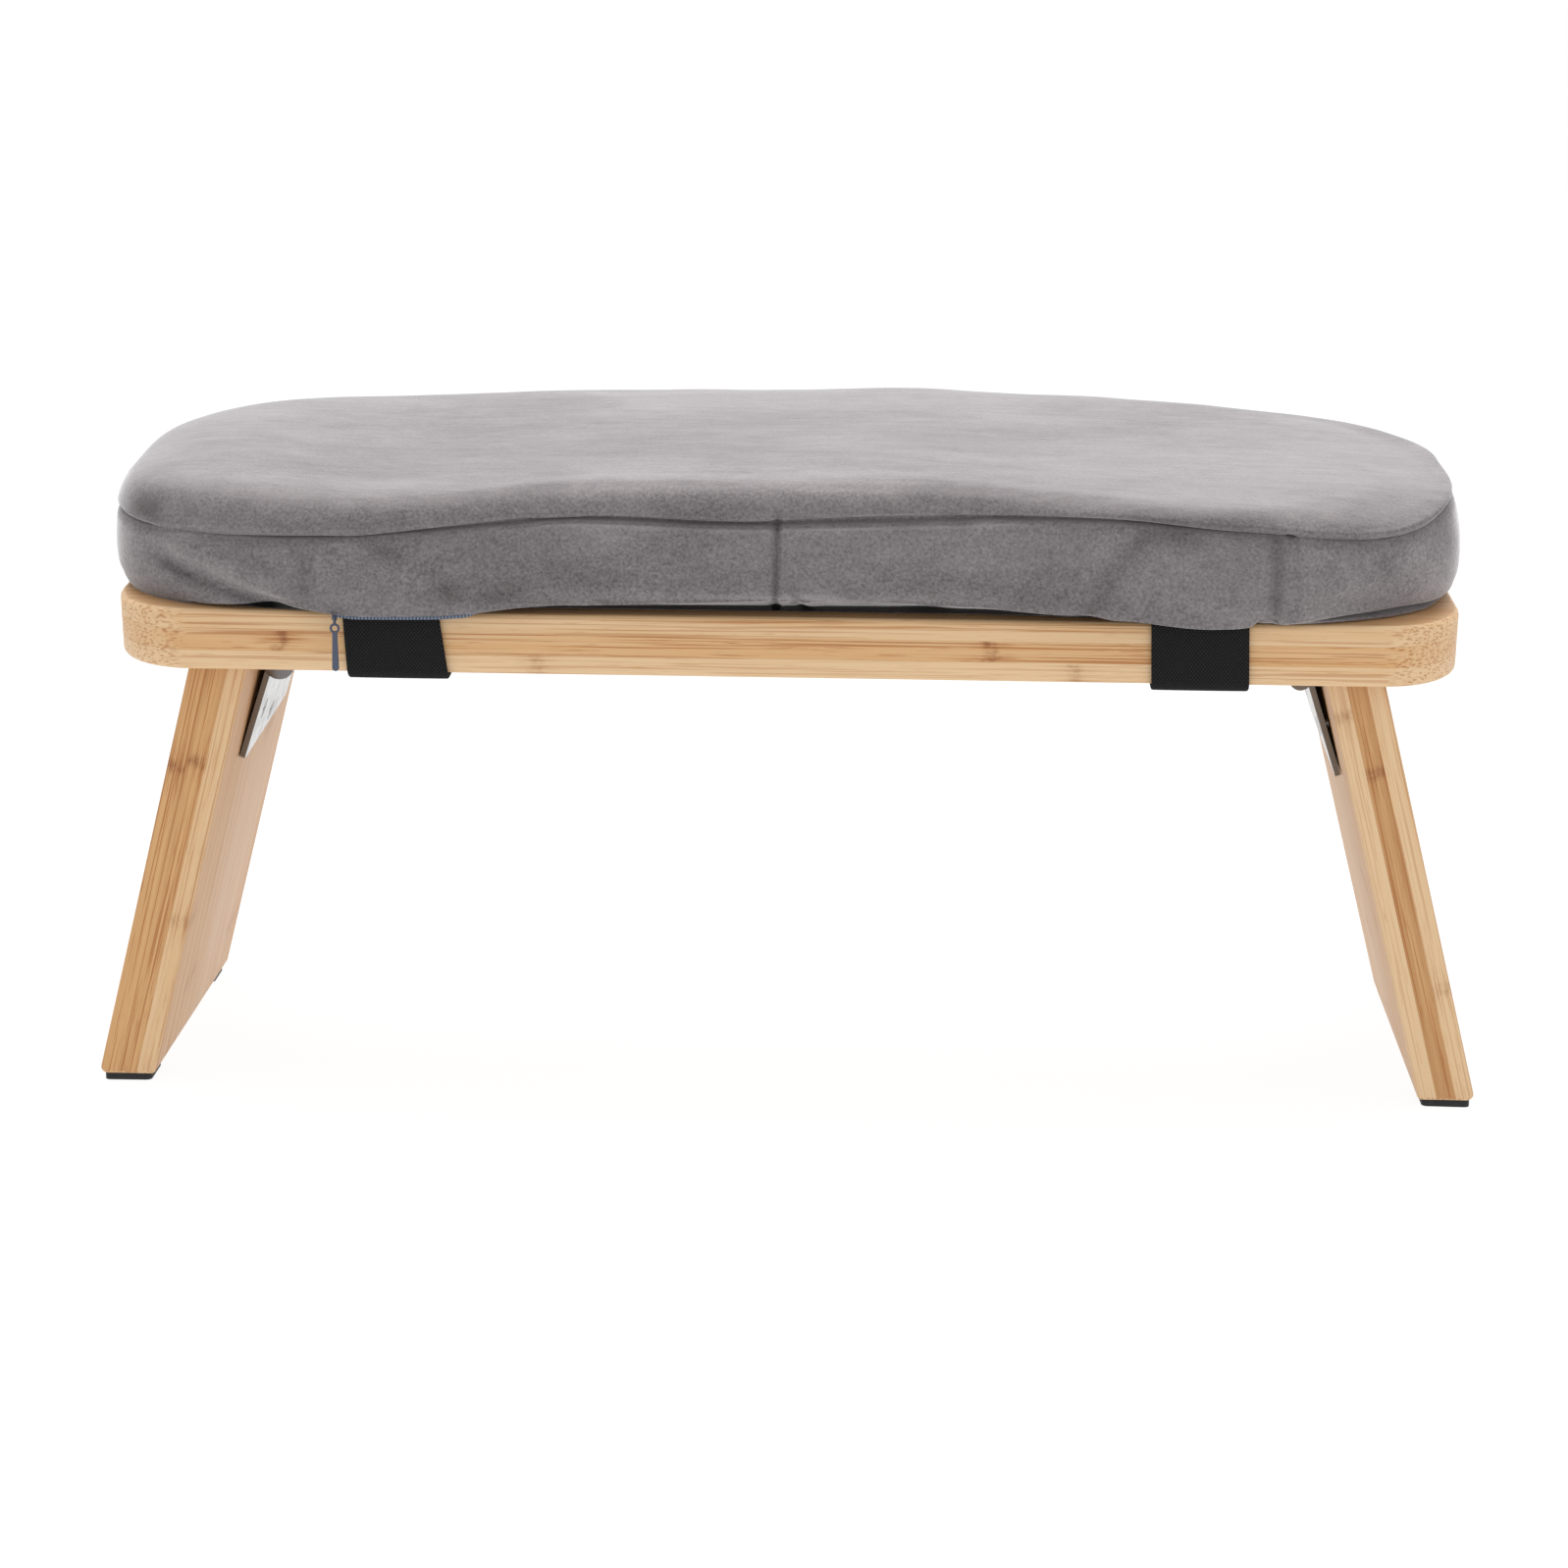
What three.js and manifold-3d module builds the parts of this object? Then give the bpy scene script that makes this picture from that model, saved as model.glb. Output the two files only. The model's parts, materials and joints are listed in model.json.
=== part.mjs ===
// A folding meditation bench: a bamboo seat board on two splayed legs that fold inward on barrel
// hinges, with a boxed, bean-shaped cushion held on by two elastic straps.
// Millimetres, +Z up. X runs along the board and Y from the front edge, at the knees, to the back.
// The floor is Z = 0 and the origin is the middle of the footprint.

import * as THREE from 'three';
import { mergeVertices } from 'three/addons/utils/BufferGeometryUtils.js';
import Module from 'manifold-3d';

const wasm = await Module();
wasm.setup();

// Fits between pieces
const touch_gap = 0.3;
const running_gap = 0.3;
const cut_overrun = 30;
const round_overrun = 0.05;

// Seat board
const board_width = 450;
const board_depth = 166;
const board_thickness = 21;
const board_corner_radius = 28;
const board_edge_round = 2;

// Stance
const leg_splay = THREE.MathUtils.degToRad(15);
const seat_tilt = THREE.MathUtils.degToRad(5.5);

// Legs
const leg_thickness = 19;
const leg_depth = 140;
const leg_height = 159.9;
const leg_end_inset = 25.2;
const leg_edge_round = 1.5;
const leg_foot_round = 3;

// Foot pads
const pad_thickness = 2.5;
const pad_length = 18;
const pad_side_inset = 1.6;
const pad_end_inset = 2;
const pad_corner_radius = 2;

// Hinge pin
const pin_depth = 11;
const pin_radius = 1.6;
const pin_head_radius = 5.5;
const pin_head_thickness = 1.8;

// Hinge leaves
const leaf_width = 77;
const leaf_thickness = 2;
const leaf_length = 37.8;
const leaf_standoff = 2.7;
const leaf_corner_radius = 1.5;
const seat_leaf_reach = 20;
const seat_leaf_bend_radius = 1.5;
const knuckle_count = 5;
const knuckle_clearance = 1;

// Countersunk screws
const screw_radius = 1.75;
const screw_head_radius = 3.5;
const screw_head_height = 1.75;
const screw_length = 15;
const screw_tip_length = 3;
const screw_head_sink = 0.1;
const screw_slot_width = 0.8;
const screw_slot_length = 3.6;
const screw_slot_depth = 1;
const screw_spacing = 23.5;
const leg_screw_row = 22.8;
const leg_screw_stagger = 8.2;
const seat_screw_row = 10.5;
const seat_screw_stagger = 4;

// Cushion outline, seen from above, and how far it stands out past the board
const cushion_end_overhang = 4;
const cushion_front_overhang = 9;
const cushion_back_overhang = 15;
const cushion_dent_depth = 20;
const cushion_dent_inner = 55;
const cushion_dent_outer = 145;
const cushion_front_fullness = 4.3;
const cushion_back_fullness = 2.75;

// Cushion section
const band_height = 29.5;
const crown_height = 42.8;
const band_bulge = 1.2;
const seam_groove = 2;
const cover_thickness = 1.6;
const crown_ring_share = 0.5;
const crown_ring_height_share = 0.8;

// Each ring's inset, as shares of the seam groove, the bulge and the crown's rise (slope), and its
// height, as shares of the groove (foot), the band and the crown's rise
const cover_ring_shares = [
  { groove: 0.75, bulge: 0, slope: 0, foot: 0, band: 0, rise: 0 },
  { groove: 0, bulge: 0, slope: 0, foot: 1, band: 0, rise: 0 },
  { groove: 0, bulge: 1, slope: 0, foot: 0, band: 0.45, rise: 0 },
  { groove: 0, bulge: 1 / 3, slope: 0, foot: 0, band: 0.85, rise: 0 },
  { groove: 1, bulge: 0, slope: 0, foot: 0, band: 1, rise: 0 },
  { groove: 0.6, bulge: 0, slope: 0, foot: 0, band: 1, rise: 0.14 },
  { groove: 1, bulge: 0, slope: 0.35, foot: 0, band: 1, rise: 0.5 },
  { groove: 1, bulge: 0, slope: 1, foot: 0, band: 1, rise: 0.76 },
  { groove: 1, bulge: 0, slope: 2.2, foot: 0, band: 1, rise: 0.9 },
];

// The same inside the cover, where lift is the share of the wall that raises a ring
const filling_ring_shares = [
  { groove: 0.75, slope: 0, band: 0, rise: 0, lift: 1 },
  { groove: 0, slope: 0, band: 0.45, rise: 0, lift: 0 },
  { groove: 1, slope: 0, band: 1, rise: 0, lift: -0.5 },
  { groove: 1, slope: 1, band: 1, rise: 0.76, lift: -1 },
];

// Straps
const strap_width = 32;
const strap_thickness = 1.8;
const left_strap_end_inset = 96;
const right_strap_end_inset = 88;

// Zip along the lower front edge of the cover
const zip_end_inset = 75.1;
const zip_length = 252.5;
const zip_thickness = 1.4;
const zip_height = 3;
const zip_proud = 0.35;

// Zip slider and pull
const slider_length = 7;
const slider_depth = 3.2;
const slider_height = 4;
const slider_edge_round = 0.6;
const slider_cheek_thickness = 0.8;
const slider_cheek_gap = 3;
const slider_cheek_drop = 2.4;
const slider_bar_radius = 0.5;
const slider_bar_drop = 1.6;
const pull_eye_radius = 1.15;
const pull_thickness = 0.9;
const pull_ring_drop = 3;
const pull_ring_radius = 1.7;
const pull_ring_hole_radius = 0.85;
const pull_length = 17.5;
const pull_neck_width = 1.4;
const pull_tip_width = 2.4;

// Facets
const round_sides = 24;
const small_round_sides = 12;
const arc_steps = 6;
const bevel_steps = 2;
const outline_points = 72;
const outline_samples = 720;

// Sizes that follow from the ones above
const knuckle_radius = pin_radius + running_gap + leaf_thickness;
const knuckle_pitch = leaf_width / knuckle_count;
const pin_offset = knuckle_radius + leaf_standoff;
const leaf_lean = Math.atan((leaf_standoff - touch_gap) / leaf_length);
const leg_run = leg_thickness / Math.cos(leg_splay);
const leg_inner_x = board_width / 2 - leg_end_inset - leg_run;
const pin_along_leg = (pin_depth - pin_offset * Math.sin(leg_splay)) / Math.cos(leg_splay);
const pin_x = leg_inner_x - pin_offset * Math.cos(leg_splay) + pin_along_leg * Math.sin(leg_splay);
const foot_splay = Math.asin(Math.sin(leg_splay) * Math.cos(seat_tilt));
const foot_width = leg_thickness / Math.cos(foot_splay);
const cushion_base_z = board_thickness + touch_gap;
const left_strap_x = left_strap_end_inset - board_width / 2;
const right_strap_x = board_width / 2 - right_strap_end_inset;
const zip_start = zip_end_inset - board_width / 2;
const cushion_half_width = board_width / 2 + cushion_end_overhang;
const cushion_front_reach = board_depth / 2 + cushion_front_overhang;
const cushion_back_reach = board_depth / 2 + cushion_back_overhang;

// Materials
const bamboo = { color: 0xdcb27c, roughness: 0.55, metalness: 0 };
const rubber = { color: 0x161617, roughness: 0.8, metalness: 0 };
const zinc = { color: 0xbfc0c4, roughness: 0.35, metalness: 1 };
const velvet = { color: 0x7d7a7b, roughness: 0.95, metalness: 0 };
const foam = { color: 0xe9e2cf, roughness: 0.95, metalness: 0 };
const elastic = { color: 0x141415, roughness: 0.9, metalness: 0 };
const zip_cloth = { color: 0x5c6a7c, roughness: 0.8, metalness: 0 };
const zip_metal = { color: 0x5b6880, roughness: 0.45, metalness: 0.3 };

// Solids and geometries

function solidFrom(geometry) {
  const bare = geometry.clone();
  bare.deleteAttribute('normal');
  bare.deleteAttribute('uv');
  const merged = mergeVertices(bare);
  return new wasm.Manifold(new wasm.Mesh({
    numProp: 3,
    vertProperties: Float32Array.from(merged.attributes.position.array),
    triVerts: Uint32Array.from(merged.index.array),
  }));
}

function geometryFrom(solid) {
  const mesh = solid.getMesh();
  const geometry = new THREE.BufferGeometry();
  geometry.setAttribute('position', new THREE.BufferAttribute(Float32Array.from(mesh.vertProperties), 3));
  geometry.setIndex(new THREE.BufferAttribute(Uint32Array.from(mesh.triVerts), 1));
  geometry.computeVertexNormals();
  return geometry;
}

function cutAway(geometry, cutters) {
  let solid = solidFrom(geometry);
  for (const cutter of cutters) {
    solid = solid.subtract(solidFrom(cutter));
  }
  return geometryFrom(solid);
}

function joined(geometries) {
  let solid = solidFrom(geometries[0]);
  for (const geometry of geometries.slice(1)) {
    solid = solid.add(solidFrom(geometry));
  }
  return geometryFrom(solid);
}

function addPiece(parent, name, geometry, look) {
  const mesh = new THREE.Mesh(geometry, new THREE.MeshStandardMaterial({ ...look, flatShading: true }));
  mesh.name = name;
  parent.add(mesh);
  return mesh;
}

// A group's placing, seen from the board's own frame
function placeInBench(bench, frame) {
  bench.updateMatrixWorld(true);
  return bench.matrixWorld.clone().invert().multiply(frame.matrixWorld);
}

function box(width, depth, height, x, y, z) {
  return new THREE.BoxGeometry(width, depth, height).translate(x, y, z);
}

// A rod that lies along Y, centred on the origin
function rod(radius, length, sides) {
  return new THREE.CylinderGeometry(radius, radius, length, sides);
}

function roundedRectangle(width, height, radius) {
  const x = width / 2;
  const y = height / 2;
  const shape = new THREE.Shape();
  shape.moveTo(x - radius, -y);
  shape.absarc(x - radius, radius - y, radius, -Math.PI / 2, 0, false);
  shape.absarc(x - radius, y - radius, radius, 0, Math.PI / 2, false);
  shape.absarc(radius - x, y - radius, radius, Math.PI / 2, Math.PI, false);
  shape.absarc(radius - x, radius - y, radius, Math.PI, 3 * Math.PI / 2, false);
  return shape;
}

// An XZ outline given a depth along Y, centred on Y = 0
function alongDepth(shape, depth) {
  const settings = { depth, bevelEnabled: false, curveSegments: arc_steps };
  return new THREE.ExtrudeGeometry(shape, settings).rotateX(Math.PI / 2).translate(0, depth / 2, 0);
}

// A plate in XY with rounded edges, from Z = 0 up to its thickness
function roundedPlate(shape, thickness, edge_round) {
  const settings = {
    depth: thickness - 2 * edge_round,
    bevelEnabled: true,
    bevelThickness: edge_round,
    bevelSize: edge_round,
    bevelOffset: -edge_round,
    bevelSegments: bevel_steps,
    curveSegments: arc_steps,
  };
  return new THREE.ExtrudeGeometry(shape, settings).translate(0, 0, edge_round);
}

// Screws

// A countersunk screw that points down -Y, with its head's face at Y = 0
function screwGeometry() {
  const points = [
    [0, 0],
    [screw_head_radius, 0],
    [screw_radius, -screw_head_height],
    [screw_radius, screw_tip_length - screw_length],
    [0, -screw_length],
  ].map(([radius, y]) => new THREE.Vector2(radius, y)).reverse();
  const body = new THREE.LatheGeometry(points, small_round_sides);
  const slot = box(screw_slot_length, 2 * screw_slot_depth, screw_slot_width, 0, 0, 0);
  const cross_slot = box(screw_slot_width, 2 * screw_slot_depth, screw_slot_length, 0, 0, 0);
  return cutAway(body, [slot, cross_slot]);
}

// What a screw passes through, with clearance all round it
function screwHole() {
  const wide = screw_head_radius + touch_gap;
  const narrow = screw_radius + touch_gap;
  const points = [
    [0, cut_overrun],
    [wide, cut_overrun],
    [wide, 0],
    [narrow, -screw_head_height],
    [narrow, -screw_length - touch_gap],
    [0, -screw_length - touch_gap],
  ].map(([radius, y]) => new THREE.Vector2(radius, y)).reverse();
  return new THREE.LatheGeometry(points, small_round_sides);
}

// Screw places on a leaf: [across, along] with the middle one staggered
function screwPlaces(row, stagger) {
  return [[-screw_spacing, row], [0, row + stagger], [screw_spacing, row]];
}

// Turned to point along +X, out of the leg leaf's inner face and into the leg
function legScrewSet(makeOne) {
  const head_x = knuckle_radius - leaf_thickness + screw_head_sink;
  return screwPlaces(leg_screw_row, leg_screw_stagger).map(([across, along]) =>
    makeOne().rotateZ(Math.PI / 2).translate(head_x, across, -along));
}

// Turned to point up, through the seat leaf and into the board
function seatScrewSet(makeOne) {
  const head_z = pin_depth - touch_gap - leaf_thickness + screw_head_sink;
  return screwPlaces(seat_screw_row, seat_screw_stagger).map(([across, along]) =>
    makeOne().rotateX(-Math.PI / 2).translate(-along, across, head_z));
}

// Hinge

function knuckleCentres(parity) {
  const centres = [];
  for (let index = 0; index < knuckle_count; index += 1) {
    if (index % 2 === parity) {
      centres.push((index - (knuckle_count - 1) / 2) * knuckle_pitch);
    }
  }
  return centres;
}

// A rolled knuckle on the pin's axis, solid until the bore is cut
function knuckleBlank(centre) {
  return rod(knuckle_radius, knuckle_pitch - running_gap, round_sides).translate(0, centre, 0);
}

// Room for the other leaf's knuckle to turn in
function knuckleRoom(centre) {
  const reach = knuckle_radius + knuckle_clearance;
  return rod(reach, knuckle_pitch + running_gap, round_sides).translate(0, centre, 0);
}

function pinBore() {
  return rod(pin_radius + running_gap, leaf_width + cut_overrun, round_sides);
}

// The leg leaf hangs down from the pin, with its outer face towards the leg
function legLeafGeometry() {
  const half = leaf_width / 2;
  const radius = leaf_corner_radius;
  const outline = new THREE.Shape();
  outline.moveTo(half, 0);
  outline.lineTo(-half, 0);
  outline.lineTo(-half, radius - leaf_length);
  outline.absarc(radius - half, radius - leaf_length, radius, Math.PI, 3 * Math.PI / 2, false);
  outline.absarc(half - radius, radius - leaf_length, radius, 3 * Math.PI / 2, 2 * Math.PI, false);
  outline.closePath();
  const settings = { depth: leaf_thickness, bevelEnabled: false, curveSegments: arc_steps };
  const plate = new THREE.ExtrudeGeometry(outline, settings)
    .rotateX(Math.PI / 2)
    .rotateZ(Math.PI / 2)
    .translate(knuckle_radius - leaf_thickness, 0, 0);
  const trimmed = cutAway(plate, knuckleCentres(1).map(knuckleRoom));
  const rolled = joined([trimmed, ...knuckleCentres(0).map(knuckleBlank)]);
  return cutAway(rolled, [pinBore(), ...legScrewSet(screwHole)]);
}

// The seat leaf rises from the pin and bends flat under the board
function seatLeafGeometry() {
  const outer_x = leaf_thickness - knuckle_radius;
  const inner_x = -knuckle_radius;
  const top = pin_depth - touch_gap;
  const outer_radius = seat_leaf_bend_radius + leaf_thickness;
  const section = new THREE.Shape();
  section.moveTo(inner_x, 0);
  section.lineTo(outer_x, 0);
  section.lineTo(outer_x, top - outer_radius);
  section.absarc(outer_x - outer_radius, top - outer_radius, outer_radius, 0, Math.PI / 2, false);
  section.lineTo(-seat_leaf_reach, top);
  section.lineTo(-seat_leaf_reach, top - leaf_thickness);
  section.lineTo(outer_x - outer_radius, top - leaf_thickness);
  section.absarc(outer_x - outer_radius, top - outer_radius, seat_leaf_bend_radius, Math.PI / 2, 0, true);
  section.closePath();
  const plate = alongDepth(section, leaf_width);
  const trimmed = cutAway(plate, knuckleCentres(0).map(knuckleRoom));
  const rolled = joined([trimmed, ...knuckleCentres(1).map(knuckleBlank)]);
  return cutAway(rolled, [pinBore(), ...seatScrewSet(screwHole)]);
}

// The pin, along Y, with a domed head at each end
function pinGeometry() {
  const end = leaf_width / 2 + touch_gap;
  const half = [];
  for (let step = 0; step <= arc_steps; step += 1) {
    const angle = (step / arc_steps) * Math.PI / 2;
    const radius = pin_head_radius * Math.sin(angle);
    half.push([radius, end + pin_head_thickness * Math.cos(angle)]);
  }
  half.push([pin_radius, end]);
  const mirrored = half.slice().reverse().map(([radius, y]) => [radius, -y]);
  const points = [...half, ...mirrored].map(([radius, y]) => new THREE.Vector2(radius, y)).reverse();
  points[0].x = 0;
  points[points.length - 1].x = 0;
  return new THREE.LatheGeometry(points, round_sides);
}

// Legs

// The leg before its bevels: its inner face on X = 0, its length down -Z
function legBlank() {
  const reach = (leg_height + leg_depth) / Math.cos(leg_splay);
  const section = roundedRectangle(leg_thickness, leg_depth, leg_edge_round);
  const settings = { depth: reach, bevelEnabled: false, curveSegments: arc_steps };
  return new THREE.ExtrudeGeometry(section, settings).translate(leg_thickness / 2, 0, leg_thickness - reach);
}

// What lies above the leg's top bevel
function aboveLeg() {
  const size = board_width + cut_overrun;
  return box(size, size, size, 0, 0, size / 2 - touch_gap);
}

// What lies under the foot: its frame has the floor's direction, at mid-depth of the leg's foot
function belowFoot() {
  const size = board_width + leg_height + cut_overrun;
  return box(size, size, size, 0, 0, -size / 2);
}

// The sliver outside the rounded lower edge of the foot's outer side
function footRounding() {
  const half_angle = (Math.PI / 2 - foot_splay) / 2;
  const run = leg_foot_round / Math.tan(half_angle);
  const up = new THREE.Vector2(-Math.sin(foot_splay), Math.cos(foot_splay));
  const overrun_x = (round_overrun * (1 + Math.sin(foot_splay))) / Math.cos(foot_splay);
  const corner = new THREE.Vector2(foot_width / 2 + overrun_x, -round_overrun);
  const centre = new THREE.Vector2(corner.x - run, corner.y + leg_foot_round);
  const on_side = corner.clone().addScaledVector(up, run);
  const outward = new THREE.Vector2(Math.cos(foot_splay), Math.sin(foot_splay)).multiplyScalar(leg_foot_round);
  const sliver = new THREE.Shape();
  sliver.moveTo(on_side.x, on_side.y);
  sliver.absarc(centre.x, centre.y, leg_foot_round, foot_splay, -Math.PI / 2, true);
  sliver.lineTo(centre.x, -leg_foot_round);
  sliver.lineTo(corner.x + leg_foot_round, -leg_foot_round);
  sliver.lineTo(on_side.x + outward.x, on_side.y + outward.y);
  sliver.closePath();
  return alongDepth(sliver, leg_depth + cut_overrun);
}

function makeLeg(bench, frames) {
  const leg_place = placeInBench(bench, frames.leg);
  const leaf_place = placeInBench(bench, frames.leaf);
  const foot_place = placeInBench(bench, frames.foot);
  const cutters = [
    aboveLeg(),
    belowFoot().applyMatrix4(foot_place),
    footRounding().applyMatrix4(foot_place),
    ...legScrewSet(screwHole).map((hole) => hole.applyMatrix4(leaf_place)),
  ];
  const blank = legBlank().applyMatrix4(leg_place);
  return cutAway(blank, cutters).applyMatrix4(leg_place.clone().invert());
}

function padGeometry() {
  const shape = roundedRectangle(foot_width - 2 * pad_side_inset, pad_length, pad_corner_radius);
  const settings = { depth: pad_thickness, bevelEnabled: false, curveSegments: arc_steps };
  return new THREE.ExtrudeGeometry(shape, settings).translate(0, 0, -touch_gap - pad_thickness);
}

// The frames of one side. The left side is the right one turned half a turn about Z.
function sideFrames(bench, is_left) {
  const side = new THREE.Group();
  side.rotation.z = is_left ? Math.PI : 0;
  bench.add(side);

  const leg = new THREE.Group();
  leg.position.set(leg_inner_x, 0, 0);
  leg.rotation.y = -leg_splay;
  side.add(leg);

  const leaf = new THREE.Group();
  leaf.position.set(-pin_offset, 0, -pin_along_leg);
  leaf.rotation.y = -leaf_lean;
  leg.add(leaf);

  const pin = new THREE.Group();
  pin.position.set(pin_x, 0, -pin_depth);
  side.add(pin);

  const foot = footFrame(bench, is_left ? -1 : 1);
  return { leg, leaf, pin, foot };
}

// Z up from the floor and Y along the foot's long edge, which runs outward as the leg gets longer
function footFrame(bench, sign) {
  const up = new THREE.Vector3(0, Math.sin(seat_tilt), Math.cos(seat_tilt));
  const slope = Math.tan(seat_tilt);
  const edge = new THREE.Vector3(sign * slope * Math.tan(leg_splay), 1, -slope).normalize();
  const outward = new THREE.Vector3().crossVectors(edge, up).multiplyScalar(sign);
  const along = new THREE.Vector3().crossVectors(up, outward);
  const foot = new THREE.Group();
  foot.quaternion.setFromRotationMatrix(new THREE.Matrix4().makeBasis(outward, along, up));
  const middle_x = leg_inner_x + leg_run / 2 + leg_height * Math.tan(leg_splay);
  foot.position.set(sign * middle_x, 0, -leg_height);
  bench.add(foot);
  return foot;
}

function addPads(foot, side_name, sign) {
  const reach = leg_depth / Math.cos(seat_tilt) / 2 - pad_end_inset - pad_length / 2;
  for (const [place, direction] of [['front', -1], ['rear', 1]]) {
    const pad = addPiece(foot, `${side_name}_${place}_pad`, padGeometry(), rubber);
    pad.position.y = sign * direction * reach;
  }
}

// One node per screw, named by its place from the front
function addScrews(parent, set_name, screws, is_left) {
  const places = is_left ? ['rear', 'middle', 'front'] : ['front', 'middle', 'rear'];
  screws.forEach((screw, index) => addPiece(parent, `${set_name}_${places[index]}`, screw, zinc));
}

function addSide(bench, side_name, is_left) {
  const frames = sideFrames(bench, is_left);
  addPiece(frames.leg, `${side_name}_leg`, makeLeg(bench, frames), bamboo);
  addPads(frames.foot, side_name, is_left ? -1 : 1);
  addPiece(frames.leaf, `${side_name}_leg_leaf`, legLeafGeometry(), zinc);
  addScrews(frames.leaf, `${side_name}_leg_screw`, legScrewSet(screwGeometry), is_left);
  addPiece(frames.pin, `${side_name}_seat_leaf`, seatLeafGeometry(), zinc);
  addScrews(frames.pin, `${side_name}_seat_screw`, seatScrewSet(screwGeometry), is_left);
  addPiece(frames.pin, `${side_name}_hinge_pin`, pinGeometry(), zinc);
  return frames;
}

// Seat board, drilled for the seat leaves' screws

function addBoard(bench, all_frames) {
  const outline = roundedRectangle(board_width, board_depth, board_corner_radius);
  const holes = all_frames.flatMap((frames) => {
    const place = placeInBench(bench, frames.pin);
    return seatScrewSet(screwHole).map((hole) => hole.applyMatrix4(place));
  });
  const board = roundedPlate(outline, board_thickness, board_edge_round);
  addPiece(bench, 'seat_board', cutAway(board, holes), bamboo);
}

// Straps: an open band round the board's front, underside and back

function strapGeometry() {
  const inner = board_depth / 2 + touch_gap;
  const outer = inner + strap_thickness;
  const inner_radius = board_edge_round + touch_gap;
  const outer_radius = inner_radius + strap_thickness;
  const turn = inner_radius - touch_gap;
  const band = new THREE.Shape();
  band.moveTo(outer, board_thickness);
  band.lineTo(inner, board_thickness);
  band.lineTo(inner, turn);
  band.absarc(inner - inner_radius, turn, inner_radius, 0, -Math.PI / 2, true);
  band.absarc(inner_radius - inner, turn, inner_radius, -Math.PI / 2, -Math.PI, true);
  band.lineTo(-inner, board_thickness);
  band.lineTo(-outer, board_thickness);
  band.lineTo(-outer, turn);
  band.absarc(outer_radius - outer, turn, outer_radius, Math.PI, 3 * Math.PI / 2, false);
  band.absarc(outer - outer_radius, turn, outer_radius, 3 * Math.PI / 2, 2 * Math.PI, false);
  band.closePath();
  return alongDepth(band, strap_width).rotateZ(Math.PI / 2);
}

function addStraps(bench) {
  for (const [name, place] of [['left_strap', left_strap_x], ['right_strap', right_strap_x]]) {
    const strap = addPiece(bench, name, strapGeometry(), elastic);
    strap.position.x = place;
  }
}

// Cushion outline: a fuller curve at the front than at the back, dented at the front's middle

function frontDent(x) {
  const ramp = (Math.abs(x) - cushion_dent_inner) / (cushion_dent_outer - cushion_dent_inner);
  const share = THREE.MathUtils.clamp(1 - ramp, 0, 1);
  return cushion_dent_depth * share * share * (3 - 2 * share);
}

function outlinePoint(angle) {
  const front = Math.sin(angle) < 0;
  const fullness = front ? cushion_front_fullness : cushion_back_fullness;
  const reach = front ? cushion_front_reach : cushion_back_reach;
  const rounded = (value) => Math.sign(value) * Math.abs(value) ** (2 / fullness);
  const x = cushion_half_width * rounded(Math.cos(angle));
  const y = reach * rounded(Math.sin(angle));
  return new THREE.Vector2(x, front ? y + frontDent(x) : y);
}

// The outline as evenly spaced points, anticlockwise from above
function cushionOutline() {
  const dense = [];
  for (let index = 0; index <= outline_samples; index += 1) {
    dense.push(outlinePoint((index / outline_samples) * 2 * Math.PI));
  }
  const spaced = new THREE.Shape(dense).getSpacedPoints(outline_points);
  return spaced.slice(0, outline_points);
}

function insetOutline(points, inset) {
  return points.map((point, index) => {
    const before = points[(index + points.length - 1) % points.length];
    const after = points[(index + 1) % points.length];
    const along = after.clone().sub(before).normalize();
    return new THREE.Vector2(point.x - along.y * inset, point.y + along.x * inset);
  });
}

// Cushion solid: rings of the outline at their insets and heights, closed by a point at each end

function ringSolid(rings, bottom, top) {
  const positions = [bottom.x, bottom.y, bottom.z];
  for (const { points, z } of rings) {
    for (const point of points) {
      positions.push(point.x, point.y, z);
    }
  }
  positions.push(top.x, top.y, top.z);
  const count = rings[0].points.length;
  const last = positions.length / 3 - 1;
  const faces = [];
  for (let index = 0; index < count; index += 1) {
    const next = (index + 1) % count;
    faces.push(0, 1 + next, 1 + index);
    for (let ring = 0; ring < rings.length - 1; ring += 1) {
      const low = 1 + ring * count;
      const high = low + count;
      faces.push(low + index, low + next, high + next);
      faces.push(low + index, high + next, high + index);
    }
    faces.push(last, last - count + index, last - count + next);
  }
  const geometry = new THREE.BufferGeometry();
  geometry.setAttribute('position', new THREE.Float32BufferAttribute(positions, 3));
  geometry.setIndex(faces);
  geometry.computeVertexNormals();
  return geometry;
}

// The cover's outer rings, up from its base
function coverProfile() {
  const crown_rise = crown_height - band_height;
  return cover_ring_shares.map(({ groove, bulge, slope, foot, band, rise }) => ({
    inset: seam_groove * groove - band_bulge * bulge + crown_rise * slope,
    z: seam_groove * foot + band_height * band + crown_rise * rise,
  }));
}

// Fewer rings, for the space inside the cover and the foam that fills it
function fillingProfile(wall) {
  const crown_rise = crown_height - band_height;
  return filling_ring_shares.map(({ groove, slope, band, rise, lift }) => ({
    inset: seam_groove * groove + crown_rise * slope + wall,
    z: band_height * band + crown_rise * rise + wall * lift,
  }));
}

function cushionForm(outline, profile, crown) {
  const rings = profile.map(({ inset, z }) => ({ points: insetOutline(outline, inset), z }));
  const middle = new THREE.Vector2(0, (cushion_back_reach - cushion_front_reach + cushion_dent_depth) / 2);
  const edge = rings[rings.length - 1];
  const shrunk = edge.points.map((point) => point.clone().lerp(middle, crown_ring_share));
  rings.push({ points: shrunk, z: THREE.MathUtils.lerp(edge.z, crown, crown_ring_height_share) });
  const bottom = new THREE.Vector3(middle.x, middle.y, rings[0].z);
  return ringSolid(rings, bottom, new THREE.Vector3(middle.x, middle.y, crown));
}

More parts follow.
